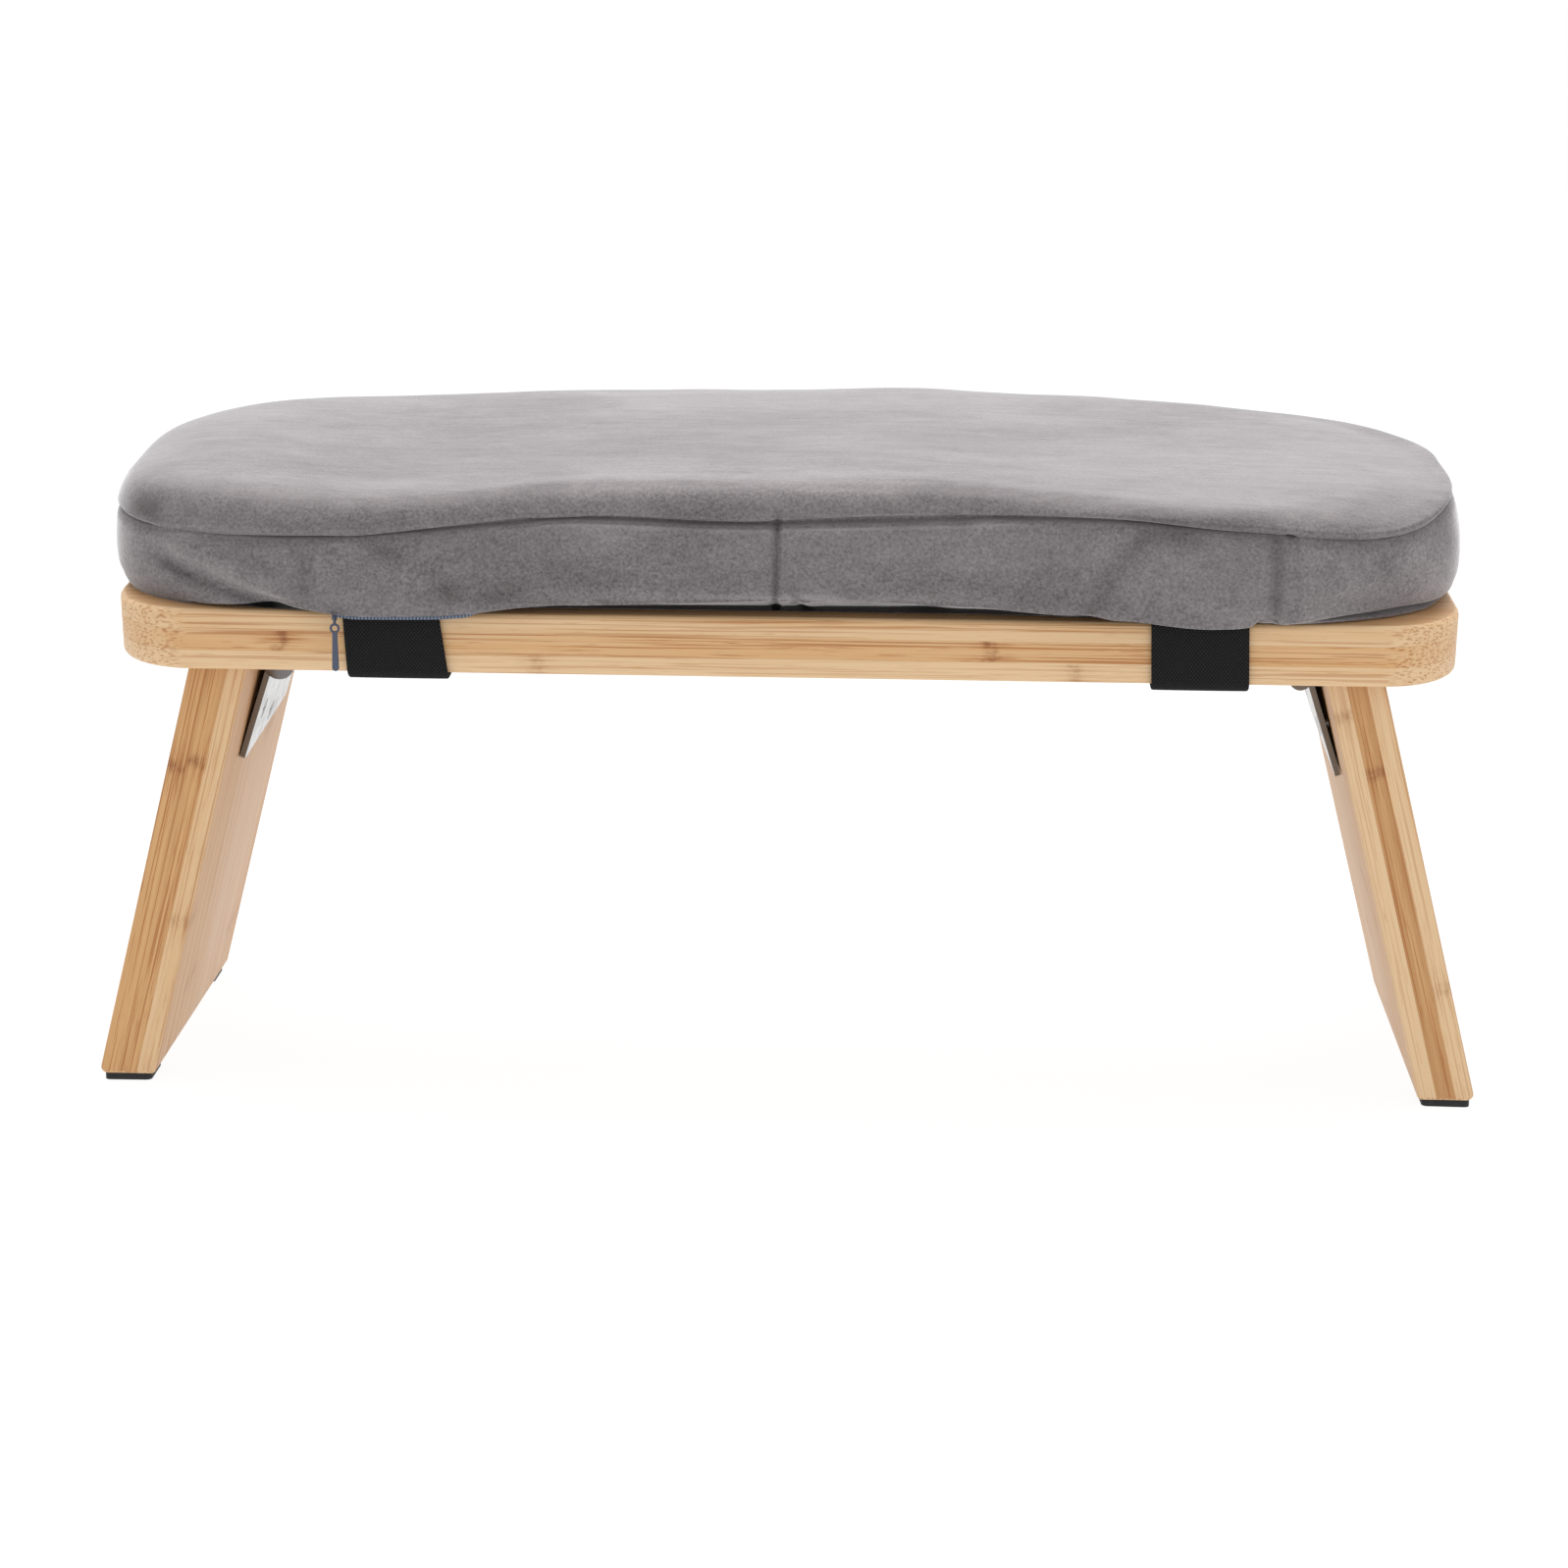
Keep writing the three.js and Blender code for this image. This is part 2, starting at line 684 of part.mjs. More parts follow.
// The stretch of the front edge between two places along the board
function frontRun(points, start, end) {
  const front = points.filter((point) => point.y < 0 && Math.abs(point.x) < cushion_half_width)
    .sort((a, b) => a.x - b.x);
  const at = (x) => {
    const index = front.findIndex((point) => point.x > x);
    const before = front[index - 1];
    const after = front[index];
    return before.clone().lerp(after, (x - before.x) / (after.x - before.x));
  };
  return [at(start), ...front.filter((point) => point.x > start && point.x < end), at(end)];
}

// A strip that follows the front edge, between two insets, from Z = 0 up to its height
function edgeStrip(outline, start, end, outer_inset, inner_inset, height) {
  const outer = frontRun(insetOutline(outline, outer_inset), start, end);
  const inner = frontRun(insetOutline(outline, inner_inset), start, end);
  const shape = new THREE.Shape([...outer, ...inner.reverse()]);
  return new THREE.ExtrudeGeometry(shape, { depth: height, bevelEnabled: false });
}

function addCushion(bench) {
  const outline = cushionOutline();
  const outer = cushionForm(outline, coverProfile(), crown_height);
  const inner = cushionForm(outline, fillingProfile(cover_thickness), crown_height - cover_thickness);
  const wall = cover_thickness + touch_gap;
  const core = cushionForm(outline, fillingProfile(wall), crown_height - wall);
  const zip_end = zip_start + zip_length;
  const slit_height = zip_thickness + 2 * touch_gap;
  const slit = edgeStrip(
    outline,
    zip_start - touch_gap,
    zip_end + touch_gap,
    -zip_thickness,
    cover_thickness + zip_thickness,
    slit_height,
  ).translate(0, 0, zip_height - slit_height / 2);
  const tape = edgeStrip(outline, zip_start, zip_end, -zip_proud, cover_thickness, zip_thickness)
    .translate(0, 0, zip_height - zip_thickness / 2);

  const cushion = new THREE.Group();
  cushion.position.z = cushion_base_z;
  bench.add(cushion);
  addPiece(cushion, 'cushion_cover', cutAway(outer, [inner, slit]), velvet);
  addPiece(cushion, 'cushion_core', core, foam);
  addPiece(cushion, 'zip_tape', tape, zip_cloth);
  addZipSlider(cushion, outline);
}

// Zip slider, at the tape's left end, with a bar between two cheeks for the pull

function sliderGeometry() {
  const body_shape = roundedRectangle(slider_length, slider_height, slider_edge_round);
  const body = alongDepth(body_shape, slider_depth);
  const cheek_x = (slider_cheek_gap + slider_cheek_thickness) / 2;
  const cheek_height = slider_cheek_drop + slider_height / 2;
  const cheeks = [-cheek_x, cheek_x].map((x) =>
    box(slider_cheek_thickness, slider_depth / 2, cheek_height, x, 0, -cheek_height / 2));
  const bar = rod(slider_bar_radius, slider_cheek_gap + slider_cheek_thickness, small_round_sides)
    .rotateZ(Math.PI / 2)
    .translate(0, 0, -slider_height / 2 - slider_bar_drop);
  return joined([body, ...cheeks, bar]);
}

// The pull hangs from the bar's axis, with its flat side to the front
function pullGeometry() {
  const eye_length = slider_cheek_gap - 2 * running_gap;
  const eye = rod(pull_eye_radius, eye_length, small_round_sides).rotateZ(Math.PI / 2);
  const neck = box(pull_neck_width, pull_thickness, pull_ring_drop, 0, 0, -pull_ring_drop / 2);
  const ring = rod(pull_ring_radius, pull_thickness, round_sides).translate(0, 0, -pull_ring_drop);
  const tip_radius = pull_tip_width / 2;
  const tab_shape = new THREE.Shape();
  tab_shape.moveTo(-pull_neck_width / 2, -pull_ring_drop);
  tab_shape.lineTo(-tip_radius, tip_radius - pull_length);
  tab_shape.absarc(0, tip_radius - pull_length, tip_radius, Math.PI, 2 * Math.PI, false);
  tab_shape.lineTo(pull_neck_width / 2, -pull_ring_drop);
  tab_shape.closePath();
  const whole = joined([eye, neck, ring, alongDepth(tab_shape, pull_thickness)]);
  const bar_bore = rod(slider_bar_radius + running_gap, cut_overrun, small_round_sides).rotateZ(Math.PI / 2);
  const ring_hole = rod(pull_ring_hole_radius, cut_overrun, small_round_sides).translate(0, 0, -pull_ring_drop);
  return cutAway(whole, [bar_bore, ring_hole]);
}

function addZipSlider(cushion, outline) {
  const tape_front = frontRun(insetOutline(outline, -zip_proud), zip_start, zip_start + slider_length);
  const front_y = Math.min(...tape_front.map((point) => point.y));
  const slider = new THREE.Group();
  slider.position.set(zip_start + slider_length / 2, front_y - touch_gap - slider_depth / 2, zip_height);
  cushion.add(slider);
  addPiece(slider, 'zip_slider', sliderGeometry(), zip_metal);

  const hanging = new THREE.Group();
  hanging.position.z = -slider_height / 2 - slider_bar_drop;
  hanging.rotation.x = -seat_tilt;
  slider.add(hanging);
  addPiece(hanging, 'zip_pull', pullGeometry(), zip_metal);
}

// The bench: built on the board's underside, then tilted forward and stood on its pads

function buildBench() {
  const bench = new THREE.Group();
  const all_frames = [['left', true], ['right', false]].map(([name, is_left]) => addSide(bench, name, is_left));
  addBoard(bench, all_frames);
  addStraps(bench);
  addCushion(bench);

  bench.rotation.x = seat_tilt;
  bench.position.z = leg_height * Math.cos(seat_tilt) + touch_gap + pad_thickness;
  const standing = new THREE.Group();
  standing.add(bench);
  const extent = new THREE.Box3().setFromObject(standing, true);
  bench.position.y = -(extent.min.y + extent.max.y) / 2;
  return standing;
}

export default buildBench();
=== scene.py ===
# %% [markdown]
# A folding meditation bench: a bamboo board on two splayed legs that fold inward on butt hinges, with
# a boxed, bean-shaped velvet cushion held on by two elastic straps. The rigid shapes come from the CAD
# model, which is loaded first and never moved. This file gives each surface its finish, and makes the
# soft pieces and the rounded wood as finer meshes in the same places.

# %% Load the frame
import json
import math

import bmesh
import bpy
import numpy as np
from mathutils import Matrix, Vector, kdtree


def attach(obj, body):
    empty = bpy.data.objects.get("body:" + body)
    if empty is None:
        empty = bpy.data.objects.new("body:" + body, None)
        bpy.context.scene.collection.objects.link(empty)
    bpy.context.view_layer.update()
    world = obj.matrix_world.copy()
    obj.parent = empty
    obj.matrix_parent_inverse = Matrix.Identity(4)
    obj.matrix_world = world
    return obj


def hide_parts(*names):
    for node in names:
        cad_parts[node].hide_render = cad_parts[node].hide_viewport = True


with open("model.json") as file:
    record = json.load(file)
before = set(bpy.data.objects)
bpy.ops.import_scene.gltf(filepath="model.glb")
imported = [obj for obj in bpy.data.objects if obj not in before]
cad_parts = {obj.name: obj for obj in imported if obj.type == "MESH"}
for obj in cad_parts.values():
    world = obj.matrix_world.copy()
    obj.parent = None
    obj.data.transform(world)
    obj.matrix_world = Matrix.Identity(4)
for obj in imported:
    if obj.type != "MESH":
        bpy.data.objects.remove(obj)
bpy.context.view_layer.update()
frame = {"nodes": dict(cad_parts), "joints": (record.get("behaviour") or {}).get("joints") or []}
nodes = frame["nodes"]

# %% [markdown]
# Most pieces line up with the tilted seat board, so it pays to work in the board's own axes: X along
# the board, Y from front to back, Z square to the board, from the middle of its underside. The tilt and
# the place are read from the hinge axis and pins of the frame, so nothing here is fitted by eye.

# %% Board axes
mm = 0.001

joints = {joint["name"]: joint for joint in frame["joints"]}
fold_axis = Vector(joints["right_leg_fold"]["axis"])
pin_place = Vector(joints["right_leg_fold"]["pos_m"])
seat_tilt = math.atan2(fold_axis.z, fold_axis.y)
pin_depth = 11 * mm
pin_radius, pin_head_thickness = 1.6, 1.8

turn_to_seat = Matrix.Rotation(seat_tilt, 4, "X")
seat_up = turn_to_seat.to_3x3() @ Vector((0, 0, 1))
seat_origin = Vector((0, pin_place.y, pin_place.z)) + seat_up * pin_depth
seat = Matrix.Translation(seat_origin) @ turn_to_seat
in_mm = Matrix.Scale(mm, 4)
seat_in_mm = seat @ in_mm
bar_place = Vector(joints["zip_pull_swing"]["pos_m"])


def seat_axes_at(place):
    """The board's axes moved to a place of the frame, with lengths in mm."""
    return seat @ Matrix.Translation(seat.inverted() @ place) @ in_mm


print(f"seat tilt {math.degrees(seat_tilt):.2f} degrees, underside {seat_origin.z / mm:.1f} mm up")

# %% [markdown]
# The driving sizes are the CAD model's own, in metres. From them the wood can be made again with
# smoother rounds.

# %% Driving sizes
touch_gap = 0.3 * mm
board_width, board_depth, board_thickness = 450 * mm, 166 * mm, 21 * mm
board_corner_radius, board_edge_round = 28 * mm, 2 * mm
leg_splay = math.radians(15)
leg_thickness, leg_depth, leg_height = 19 * mm, 140 * mm, 159.9 * mm
leg_end_inset, leg_edge_round, leg_foot_round = 25.2 * mm, 1.2 * mm, 3 * mm
leg_inner_x = board_width / 2 - leg_end_inset - leg_thickness / math.cos(leg_splay)
cushion_base_z = board_thickness + touch_gap
print(f"board {board_width / mm:.0f} x {board_depth / mm:.0f} mm, legs {2 * leg_inner_x / mm:.0f} mm apart")

# %% [markdown]
# The camera comes next, because every later choice is checked through it. Its place and turn were
# worked out from the photograph's straight edges: a long lens, a metre away, slightly right of the
# middle and about 13 degrees above the horizon. The lens is given for a 36 mm sensor.

# %% Camera
camera_place = Vector((43.5, -1106.9, 313.5)) * mm
camera_pitch, camera_yaw, camera_roll = (math.radians(a) for a in (18.863, -2.374, 0.202))
camera_lens_mm, camera_sensor_mm = 74.39, 36


def linked(name, data):
    """A new object round its data, put in the scene."""
    thing = bpy.data.objects.new(name, data)
    bpy.context.scene.collection.objects.link(thing)
    return thing


def look_matrix(place, yaw, pitch, roll):
    """A camera's matrix from its place and its angles: it looks down its own -Z."""
    aimed = Matrix.Rotation(-yaw, 4, "Z") @ Matrix.Rotation(math.pi / 2 - pitch, 4, "X")
    return Matrix.Translation(place) @ aimed @ Matrix.Rotation(roll, 4, "Z")


camera = linked("camera", bpy.data.cameras.new("camera"))
camera.matrix_world = seat @ look_matrix(camera_place, camera_yaw, camera_pitch, camera_roll)
camera.data.sensor_width, camera.data.lens = camera_sensor_mm, camera_lens_mm
camera.data.clip_start, camera.data.clip_end = 0.05, 50
bpy.context.scene.camera = camera
print("camera at", [round(v, 3) for v in camera.matrix_world.translation])

# %% [markdown]
# A material is a small program of nodes. These helpers keep the later cells short. A node's output is
# wrapped as a Value, and each sum written with it, such as + or *, adds the Math node that does it.
# The other helpers name the steps that the patterns use most.

# %% Node helpers


class Value:
    """One output of a node. Reckoning with it adds nodes to the same tree."""

    def __init__(self, socket):
        self.socket, self.tree = socket, socket.id_data

    def math(self, operation, *others):
        return add(self.tree, "ShaderNodeMath", dict(enumerate((self, *others))), operation=operation)[0]

    def __add__(self, other):
        return self.math("ADD", other)

    def __sub__(self, other):
        return self.math("SUBTRACT", other)

    def __mul__(self, other):
        return self.math("MULTIPLY", other)

    def __truediv__(self, other):
        return self.math("DIVIDE", other)

    def rest(self):
        """What is missing to 1."""
        return add(self.tree, "ShaderNodeMath", {0: 1.0, 1: self}, operation="SUBTRACT")[0]

    def step(self, low, high, low_to=0.0, high_to=1.0):
        """Goes smoothly from low_to to high_to as the value goes from low to high."""
        inputs = {"Value": self, "From Min": low, "From Max": high, "To Min": low_to, "To Max": high_to}
        return add(self.tree, "ShaderNodeMapRange", inputs, interpolation_type="SMOOTHSTEP")["Result"]


def add(tree, kind, inputs=None, **settings):
    """Adds a node and gives its outputs, by number and by name. Its inputs are by name or number too,
    filled from numbers or Values, and settings are its own properties."""
    node = tree.nodes.new(kind)
    for name, value in settings.items():
        setattr(node, name, value)
    for key, value in (inputs or {}).items():
        if isinstance(value, Value):
            tree.links.new(value.socket, node.inputs[key])
        else:
            node.inputs[key].default_value = value
    values = [Value(socket) for socket in node.outputs]
    return {value.socket.name: value for value in reversed(values)} | dict(enumerate(values))


def vector_math(operation, first, second):
    return add(first.tree, "ShaderNodeVectorMath", {0: first, 1: second}, operation=operation)


def open_tree(name, library=bpy.data.materials):
    """A new material or world, and its emptied node tree."""
    owner = library.new(name)
    owner.use_nodes = True
    owner.node_tree.nodes.clear()
    return owner, owner.node_tree


def close_tree(tree, surface_inputs):
    shader = add(tree, "ShaderNodeBsdfPrincipled", surface_inputs)["BSDF"]
    add(tree, "ShaderNodeOutputMaterial", {"Surface": shader})


def mixed(factor, first, second):
    inputs = {0: factor, 6: first, 7: second}
    return add(factor.tree, "ShaderNodeMix", inputs, data_type="RGBA", blend_type="MIX")[2]


def scaled(vector, scale):
    return add(vector.tree, "ShaderNodeMapping", {"Vector": vector, "Scale": scale})["Vector"]


def noise(vector, scale, detail, roughness, distortion=0.0):
    """Noise of one scale, or of a scale for each axis."""
    if isinstance(scale, tuple):
        vector, scale = scaled(vector, scale), 1.0
    inputs = {
        "Vector": vector, "Scale": scale, "Detail": detail,
        "Roughness": roughness, "Distortion": distortion,
    }
    return add(vector.tree, "ShaderNodeTexNoise", inputs)["Fac"]


def bump(height, distance, strength):
    inputs = {"Height": height, "Distance": distance, "Strength": strength}
    return add(height.tree, "ShaderNodeBump", inputs)["Normal"]


def local_position(tree, place):
    """Object coordinates turned into a piece's own axes, given its place as a matrix."""
    back = place.inverted()
    return add(tree, "ShaderNodeMapping", {
        "Vector": add(tree, "ShaderNodeTexCoord")["Object"],
        "Location": back.translation,
        "Rotation": back.to_euler("XYZ"),
    })["Vector"]


def faced(tree, way):
    """1 where the surface faces along the way, -1 where it faces back, and 0 beside it."""
    return vector_math("DOT_PRODUCT", add(tree, "ShaderNodeTexCoord")["Normal"], way)["Value"]


def from_srgb(*screen):
    """A colour picked as 0 to 255 screen values, as the renderer's linear light."""
    shares = [value / 255 for value in screen]
    return (*(s / 12.92 if s <= 0.04045 else ((s + 0.055) / 1.055) ** 2.4 for s in shares), 1.0)


print("node helpers ready")

# %% [markdown]
# The studio is a pale floor, a large soft lamp overhead and a little behind, a weak one at the front right,
# and an even pale surround. The photograph's background is pure white, so the floor answers camera, mirror
# and glass rays mostly with plain white light of its own. It answers all other rays mostly with glow too, so
# it also lights the object from below like a lamp; the rest of its answer is an ordinary pale surface, which
# keeps a soft shadow under the feet.

# %% Floor and light
white, floor_grey = (1, 1, 1, 1), (0.9, 0.9, 0.9, 1)
floor_light = 1.07
# glow shares: for rays that light the object, and for rays the eye follows
floor_white_share, floor_glow_share = 0.86, 0.7
floor_half_width = 6.0
surround_light = 0.82
lamp_target = Vector((0, 0, 0.18))
# place, width and height, power
lamps = {
    "overhead_softbox": ((-0.05, 0.35, 1.6), (1.6, 1.1), 30.0),
    "front_softbox": ((1.2, -1.5, 0.6), (1.2, 0.9), 1.5),
}


def is_seen(tree):
    """1 for rays that the eye follows: straight, mirrored or through glass."""
    rays = add(tree, "ShaderNodeLightPath")
    either = rays["Is Camera Ray"].math("MAXIMUM", rays["Is Glossy Ray"])
    return either.math("MAXIMUM", rays["Is Transmission Ray"])


def floor_material():
    material, tree = open_tree("studio_floor")
    pale = add(tree, "ShaderNodeBsdfDiffuse", {"Color": floor_grey})[0]
    bright = add(tree, "ShaderNodeEmission", {"Color": white, "Strength": floor_light})[0]
    share = is_seen(tree).step(0.0, 1.0, floor_glow_share, floor_white_share)
    blend = add(tree, "ShaderNodeMixShader", {0: share, 1: pale, 2: bright})[0]
    add(tree, "ShaderNodeOutputMaterial", {"Surface": blend})
    return material


def make_floor(reach):
    mesh = bpy.data.meshes.new("studio_floor")
    corners = [(-reach, -reach, 0), (reach, -reach, 0), (reach, reach, 0), (-reach, reach, 0)]
    mesh.from_pydata(corners, [], [(0, 1, 2, 3)])
    mesh.materials.append(floor_material())
    floor = linked("studio_floor", mesh)


def make_world():
    world, tree = open_tree("studio_surround", bpy.data.worlds)
    strength = is_seen(tree).step(0.0, 1.0, surround_light, 1.0)
    light = add(tree, "ShaderNodeBackground", {"Color": white, "Strength": strength})[0]
    add(tree, "ShaderNodeOutputWorld", {"Surface": light})
    bpy.context.scene.world = world


def make_lamp(name, place, size, power):
    lamp = bpy.data.lights.new(name, "AREA")
    lamp.shape, lamp.size, lamp.size_y, lamp.energy = "RECTANGLE", *size, power
    holder = linked(name, lamp)
    holder.location = place
    holder.rotation_euler = (lamp_target - Vector(place)).to_track_quat("-Z", "Y").to_euler()


make_floor(floor_half_width)
make_world()
for lamp_name, lamp_values in lamps.items():
    make_lamp(lamp_name, *lamp_values)
bpy.context.scene.view_settings.view_transform = "Standard"
print("lamps:", [light.name for light in bpy.data.lights])

# %% [markdown]
# Bamboo board is glued from strips. Three plies make its thickness, each ply is a row of strips, and
# each strip is split from a cane: long straight fibres, a darker skin side, and a node, the cane's
# joint, about every 22 cm. So the pattern works in the piece's own axes: X along the grain, Y across
# the strips and Z through the plies. A hash of the strip's number gives each strip its tone and shifts
# its nodes. Where a face cuts the grain, the fibres show as brown dots instead of lines.

# %% Bamboo
bamboo_pale = from_srgb(220, 188, 147)
bamboo_honey = from_srgb(207, 161, 108)
bamboo_deep = from_srgb(182, 134, 84)
bamboo_streak = from_srgb(166, 104, 50)
bamboo_node = from_srgb(138, 80, 36)
strip_width, strip_shift = 21 * mm, 0.37
joint_raggedness = 8 * mm
joint_fade, joint_nearness = (3.8 * mm, 0.6 * mm), (13 * mm, 2 * mm)


def fibre_lines(grain, shift, along_scale, across_scale, detail=3.0):
    """Long thin streaks: a noise stretched along the grain and moved for each strip."""
    stretched = scaled(grain, (along_scale, across_scale, across_scale))
    return noise(vector_math("ADD", stretched, shift)[0], 1.0, detail, 0.6)


def cane_nodes(along, grain, place_share, spacing):
    """How brown the wood is at a cane's joint, mottled and soft at its ends; and how near the joint is,
    for the darker fibres that run into it."""
    ragged = noise(grain, (40, 420, 420), 2.0, 0.55) - 0.5
    turn = ((along + ragged * joint_raggedness) / spacing - place_share + 0.5).math("FRACT")
    off = (turn - 0.5).math("ABSOLUTE") * spacing
    mottle = noise(grain, (330, 480, 480), 2.0, 0.6).step(0.35, 0.65, 0.3, 0.9)
    return off.step(*joint_fade) * mottle, off.step(*joint_nearness)


def end_grain(grain, facing):
    """Brown fibre ends, only where the face cuts the grain."""
    across = scaled(grain, (230, 1150, 1150))
    cells = add(grain.tree, "ShaderNodeTexVoronoi", {"Vector": across, "Scale": 1.0}, feature="F1")
    return cells["Distance"].step(0.5, 0.26) * facing.step(0.08, 0.3)


def ply_values(ply, tones, joint_places, joint_spacings):
    """Each ply's tone, its joints' place as a share of their spacing, and that spacing in metres."""
    chooser = add(ply.tree, "ShaderNodeValToRGB", {"Fac": ply / 2.0})["Color"]
    ramp = chooser.socket.node.color_ramp
    ramp.interpolation = "CONSTANT"
    ramp.elements[0].position, ramp.elements[1].position = 0.0, 0.75
    ramp.elements.new(0.25)
    for element, tone, place, spacing in zip(ramp.elements, tones, joint_places, joint_spacings):
        element.color = (tone, (place / spacing) % 1.0, spacing * mm, 1)
    return add(ply.tree, "ShaderNodeSeparateColor", {0: chooser})


def from_edge(value):
    """How far a value is from the nearest whole number."""
    part = value.math("FRACT")
    return part.math("MINIMUM", part.rest())


def bamboo(name, place, thickness, seed, front_row, tones, joint_places, joint_spacings):
    """Laminated bamboo in the axes of place. tones run from 0, pale, to 1, honey. The joints are placed
    along the grain, in mm, for the strips in front of front_row, and by chance in all the others."""
    material, tree = open_tree(name)
    grain = local_position(tree, place)
    axes = add(tree, "ShaderNodeSeparateXYZ", {0: grain})
    plies_up = axes["Z"] * (3 / thickness)
    ply = plies_up.math("FLOOR").math("MAXIMUM", 0.0).math("MINIMUM", 2.0)
    strip = axes["Y"] / strip_width + ply * strip_shift
    cell = add(tree, "ShaderNodeCombineXYZ", {"X": strip.math("FLOOR"), "Y": ply, "Z": seed})[0]
    hashed = add(tree, "ShaderNodeTexWhiteNoise", {"Vector": cell}, noise_dimensions="3D")
    shift = vector_math("MULTIPLY", hashed["Color"], (60, 60, 60))[0]
    lines = fibre_lines(grain, shift, 11, 1500, 2.0)
    dashes = fibre_lines(grain, shift, 60, 2600, 2.0)
    broad = fibre_lines(grain, shift, 7, 330)

    chosen = ply_values(ply, tones, joint_places, joint_spacings)
    tone = chosen["Red"] + (hashed["Value"] - 0.5) * 0.3 + (broad - 0.5) * 1.3
    colour = mixed(tone.step(0.0, 1.0), bamboo_pale, bamboo_honey)
    colour = mixed(tone.step(0.9, 1.5), colour, bamboo_deep)

    behind = axes["Y"].math("GREATER_THAN", front_row)
    share = chosen["Green"] + hashed["Value"] * behind
    blotch, near_joint = cane_nodes(axes["X"], grain, share, chosen["Blue"])

    strength = tone.step(0.0, 0.8, 0.42, 1.0)
    thin = lines.step(0.54, 0.62) * strength
    short = dashes.step(0.6, 0.7) * strength
    drawn = lines.step(0.46, 0.56) * (near_joint * strength)
    fibres = thin.math("MAXIMUM", short).math("MAXIMUM", drawn)
    colour = mixed(fibres * 0.85, colour, bamboo_streak)

    worn = blotch * lines.step(0.35, 0.6, 0.55, 1.0) * chosen["Red"].step(0.2, 0.7, 0.45, 1.0)
    colour = mixed(worn, colour, bamboo_node)

    facing = faced(tree, place.to_3x3() @ Vector((1, 0, 0))).math("ABSOLUTE")
    colour = mixed(facing.step(0.1, 0.5, 0.0, 0.5), colour, bamboo_pale)
    colour = mixed(end_grain(grain, facing) * 0.6, colour, bamboo_streak)

    glue = from_edge(plies_up).step(0.03, 0.0).math("MAXIMUM", from_edge(strip).step(0.01, 0.0))
    colour = mixed(glue * 0.35, colour, bamboo_streak)
    close_tree(tree, {
        "Base Color": colour,
        "Roughness": broad.step(0.3, 0.7, 0.42, 0.56),
        "Specular IOR Level": 0.4,
        "Coat Weight": 0.05,
        "Coat Roughness": 0.35,
        "Normal": bump(lines - glue * 0.4, 0.1 * mm, 0.5),
    })
    return material


print("bamboo ready: strips", round(strip_width / mm), "mm wide")


# %% [markdown]
# The rounded wood is easy to make exactly from its sizes. A board is its rounded outline raised to its
# thickness, with the two long rims bevelled. A leg is a sheared block with eight known corners: its
# top lies along the board's underside, its foot along the floor. Bevels then soften every arris, which
# is what catches the light on real planed wood.

# %% Wood pieces


def piece_from(name, mesh, materials, body, slot, *replaced):
    """Wraps a finished mesh as an object, hands it to its body and hides the CAD nodes that it stands for."""
    piece = linked(name, mesh)
    for material in materials:
        mesh.materials.append(material)
    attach(piece, body)
    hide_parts(*replaced)
    return piece


def mesh_from_bmesh(name, shape, place, smooth_angle=40):
    """Moves a bmesh to its place, points its faces outward and shades it smooth between its bends."""
    shape.transform(place)
    bmesh.ops.recalc_face_normals(shape, faces=shape.faces)
    for face in shape.faces:
        face.smooth = True
    for edge in shape.edges:
        edge.smooth = edge.calc_face_angle() < math.radians(smooth_angle)
    mesh = bpy.data.meshes.new(name)
    shape.to_mesh(mesh)
    shape.free()
    return mesh


def add_loft(shape, rings, closed=False):
    """Joins rings of points by quads. The first and the last are capped, or joined to each other if
    closed, and a ring of one point is a pole. Gives the rings' vertices and the caps."""
    rows = [[shape.verts.new(point) for point in ring] for ring in rings]
    caps = [] if closed else [shape.faces.new(row) for row in (rows[0][::-1], rows[-1]) if len(row) > 1]
    count = max(len(row) for row in rows)
    for low, high in zip(rows, rows[1:] + rows[:1] if closed else rows[1:]):
        for k in range(count):
            corners = [row[i % len(row)] for row, i in ((low, k), (low, k + 1), (high, k + 1), (high, k))]
            shape.faces.new(list(dict.fromkeys(corners)))
    return rows, caps


def lofted(name, rings, place, smooth_angle=40):
    shape = bmesh.new()
    add_loft(shape, rings)
    return mesh_from_bmesh(name, shape, place, smooth_angle)


def add_bevel(shape, edges, width, segments=3):
    bmesh.ops.bevel(shape, geom=edges, offset=width, segments=segments, profile=0.5, affect="EDGES")


def arc(radius, start, stop, steps):
    """Points on a circle, from one angle in degrees to the other."""
    angles = np.radians(np.linspace(start, stop, steps + 1))
    return [(radius * math.cos(angle), radius * math.sin(angle)) for angle in angles]


def board_mesh():
    corner_x, corner_y = board_width / 2 - board_corner_radius, board_depth / 2 - board_corner_radius
    outline = []
    for corner, (sign_x, sign_y) in enumerate([(1, 1), (-1, 1), (-1, -1), (1, -1)]):
        bend = arc(board_corner_radius, 90 * corner, 90 * corner + 90, 20)
        outline += [(sign_x * corner_x + x, sign_y * corner_y + y) for x, y in bend]
    shape = bmesh.new()
    _, caps = add_loft(shape, [[(x, y, z) for x, y in outline] for z in (0, board_thickness)])
    shape.normal_update()
    add_bevel(shape, [edge for cap in caps for edge in cap.edges], board_edge_round, 4)
    return mesh_from_bmesh("bench_board", shape, seat)


def leg_turn(side):
    return seat @ Matrix.Rotation(math.pi if side == "left" else 0, 4, "Z")


def leg_place(side):
    """The leg's own axes, at its inner face under the board: X outward, Z up along the leg."""
    return leg_turn(side) @ Matrix.Translation((leg_inner_x, 0, 0)) @ Matrix.Rotation(-leg_splay, 4, "Y")


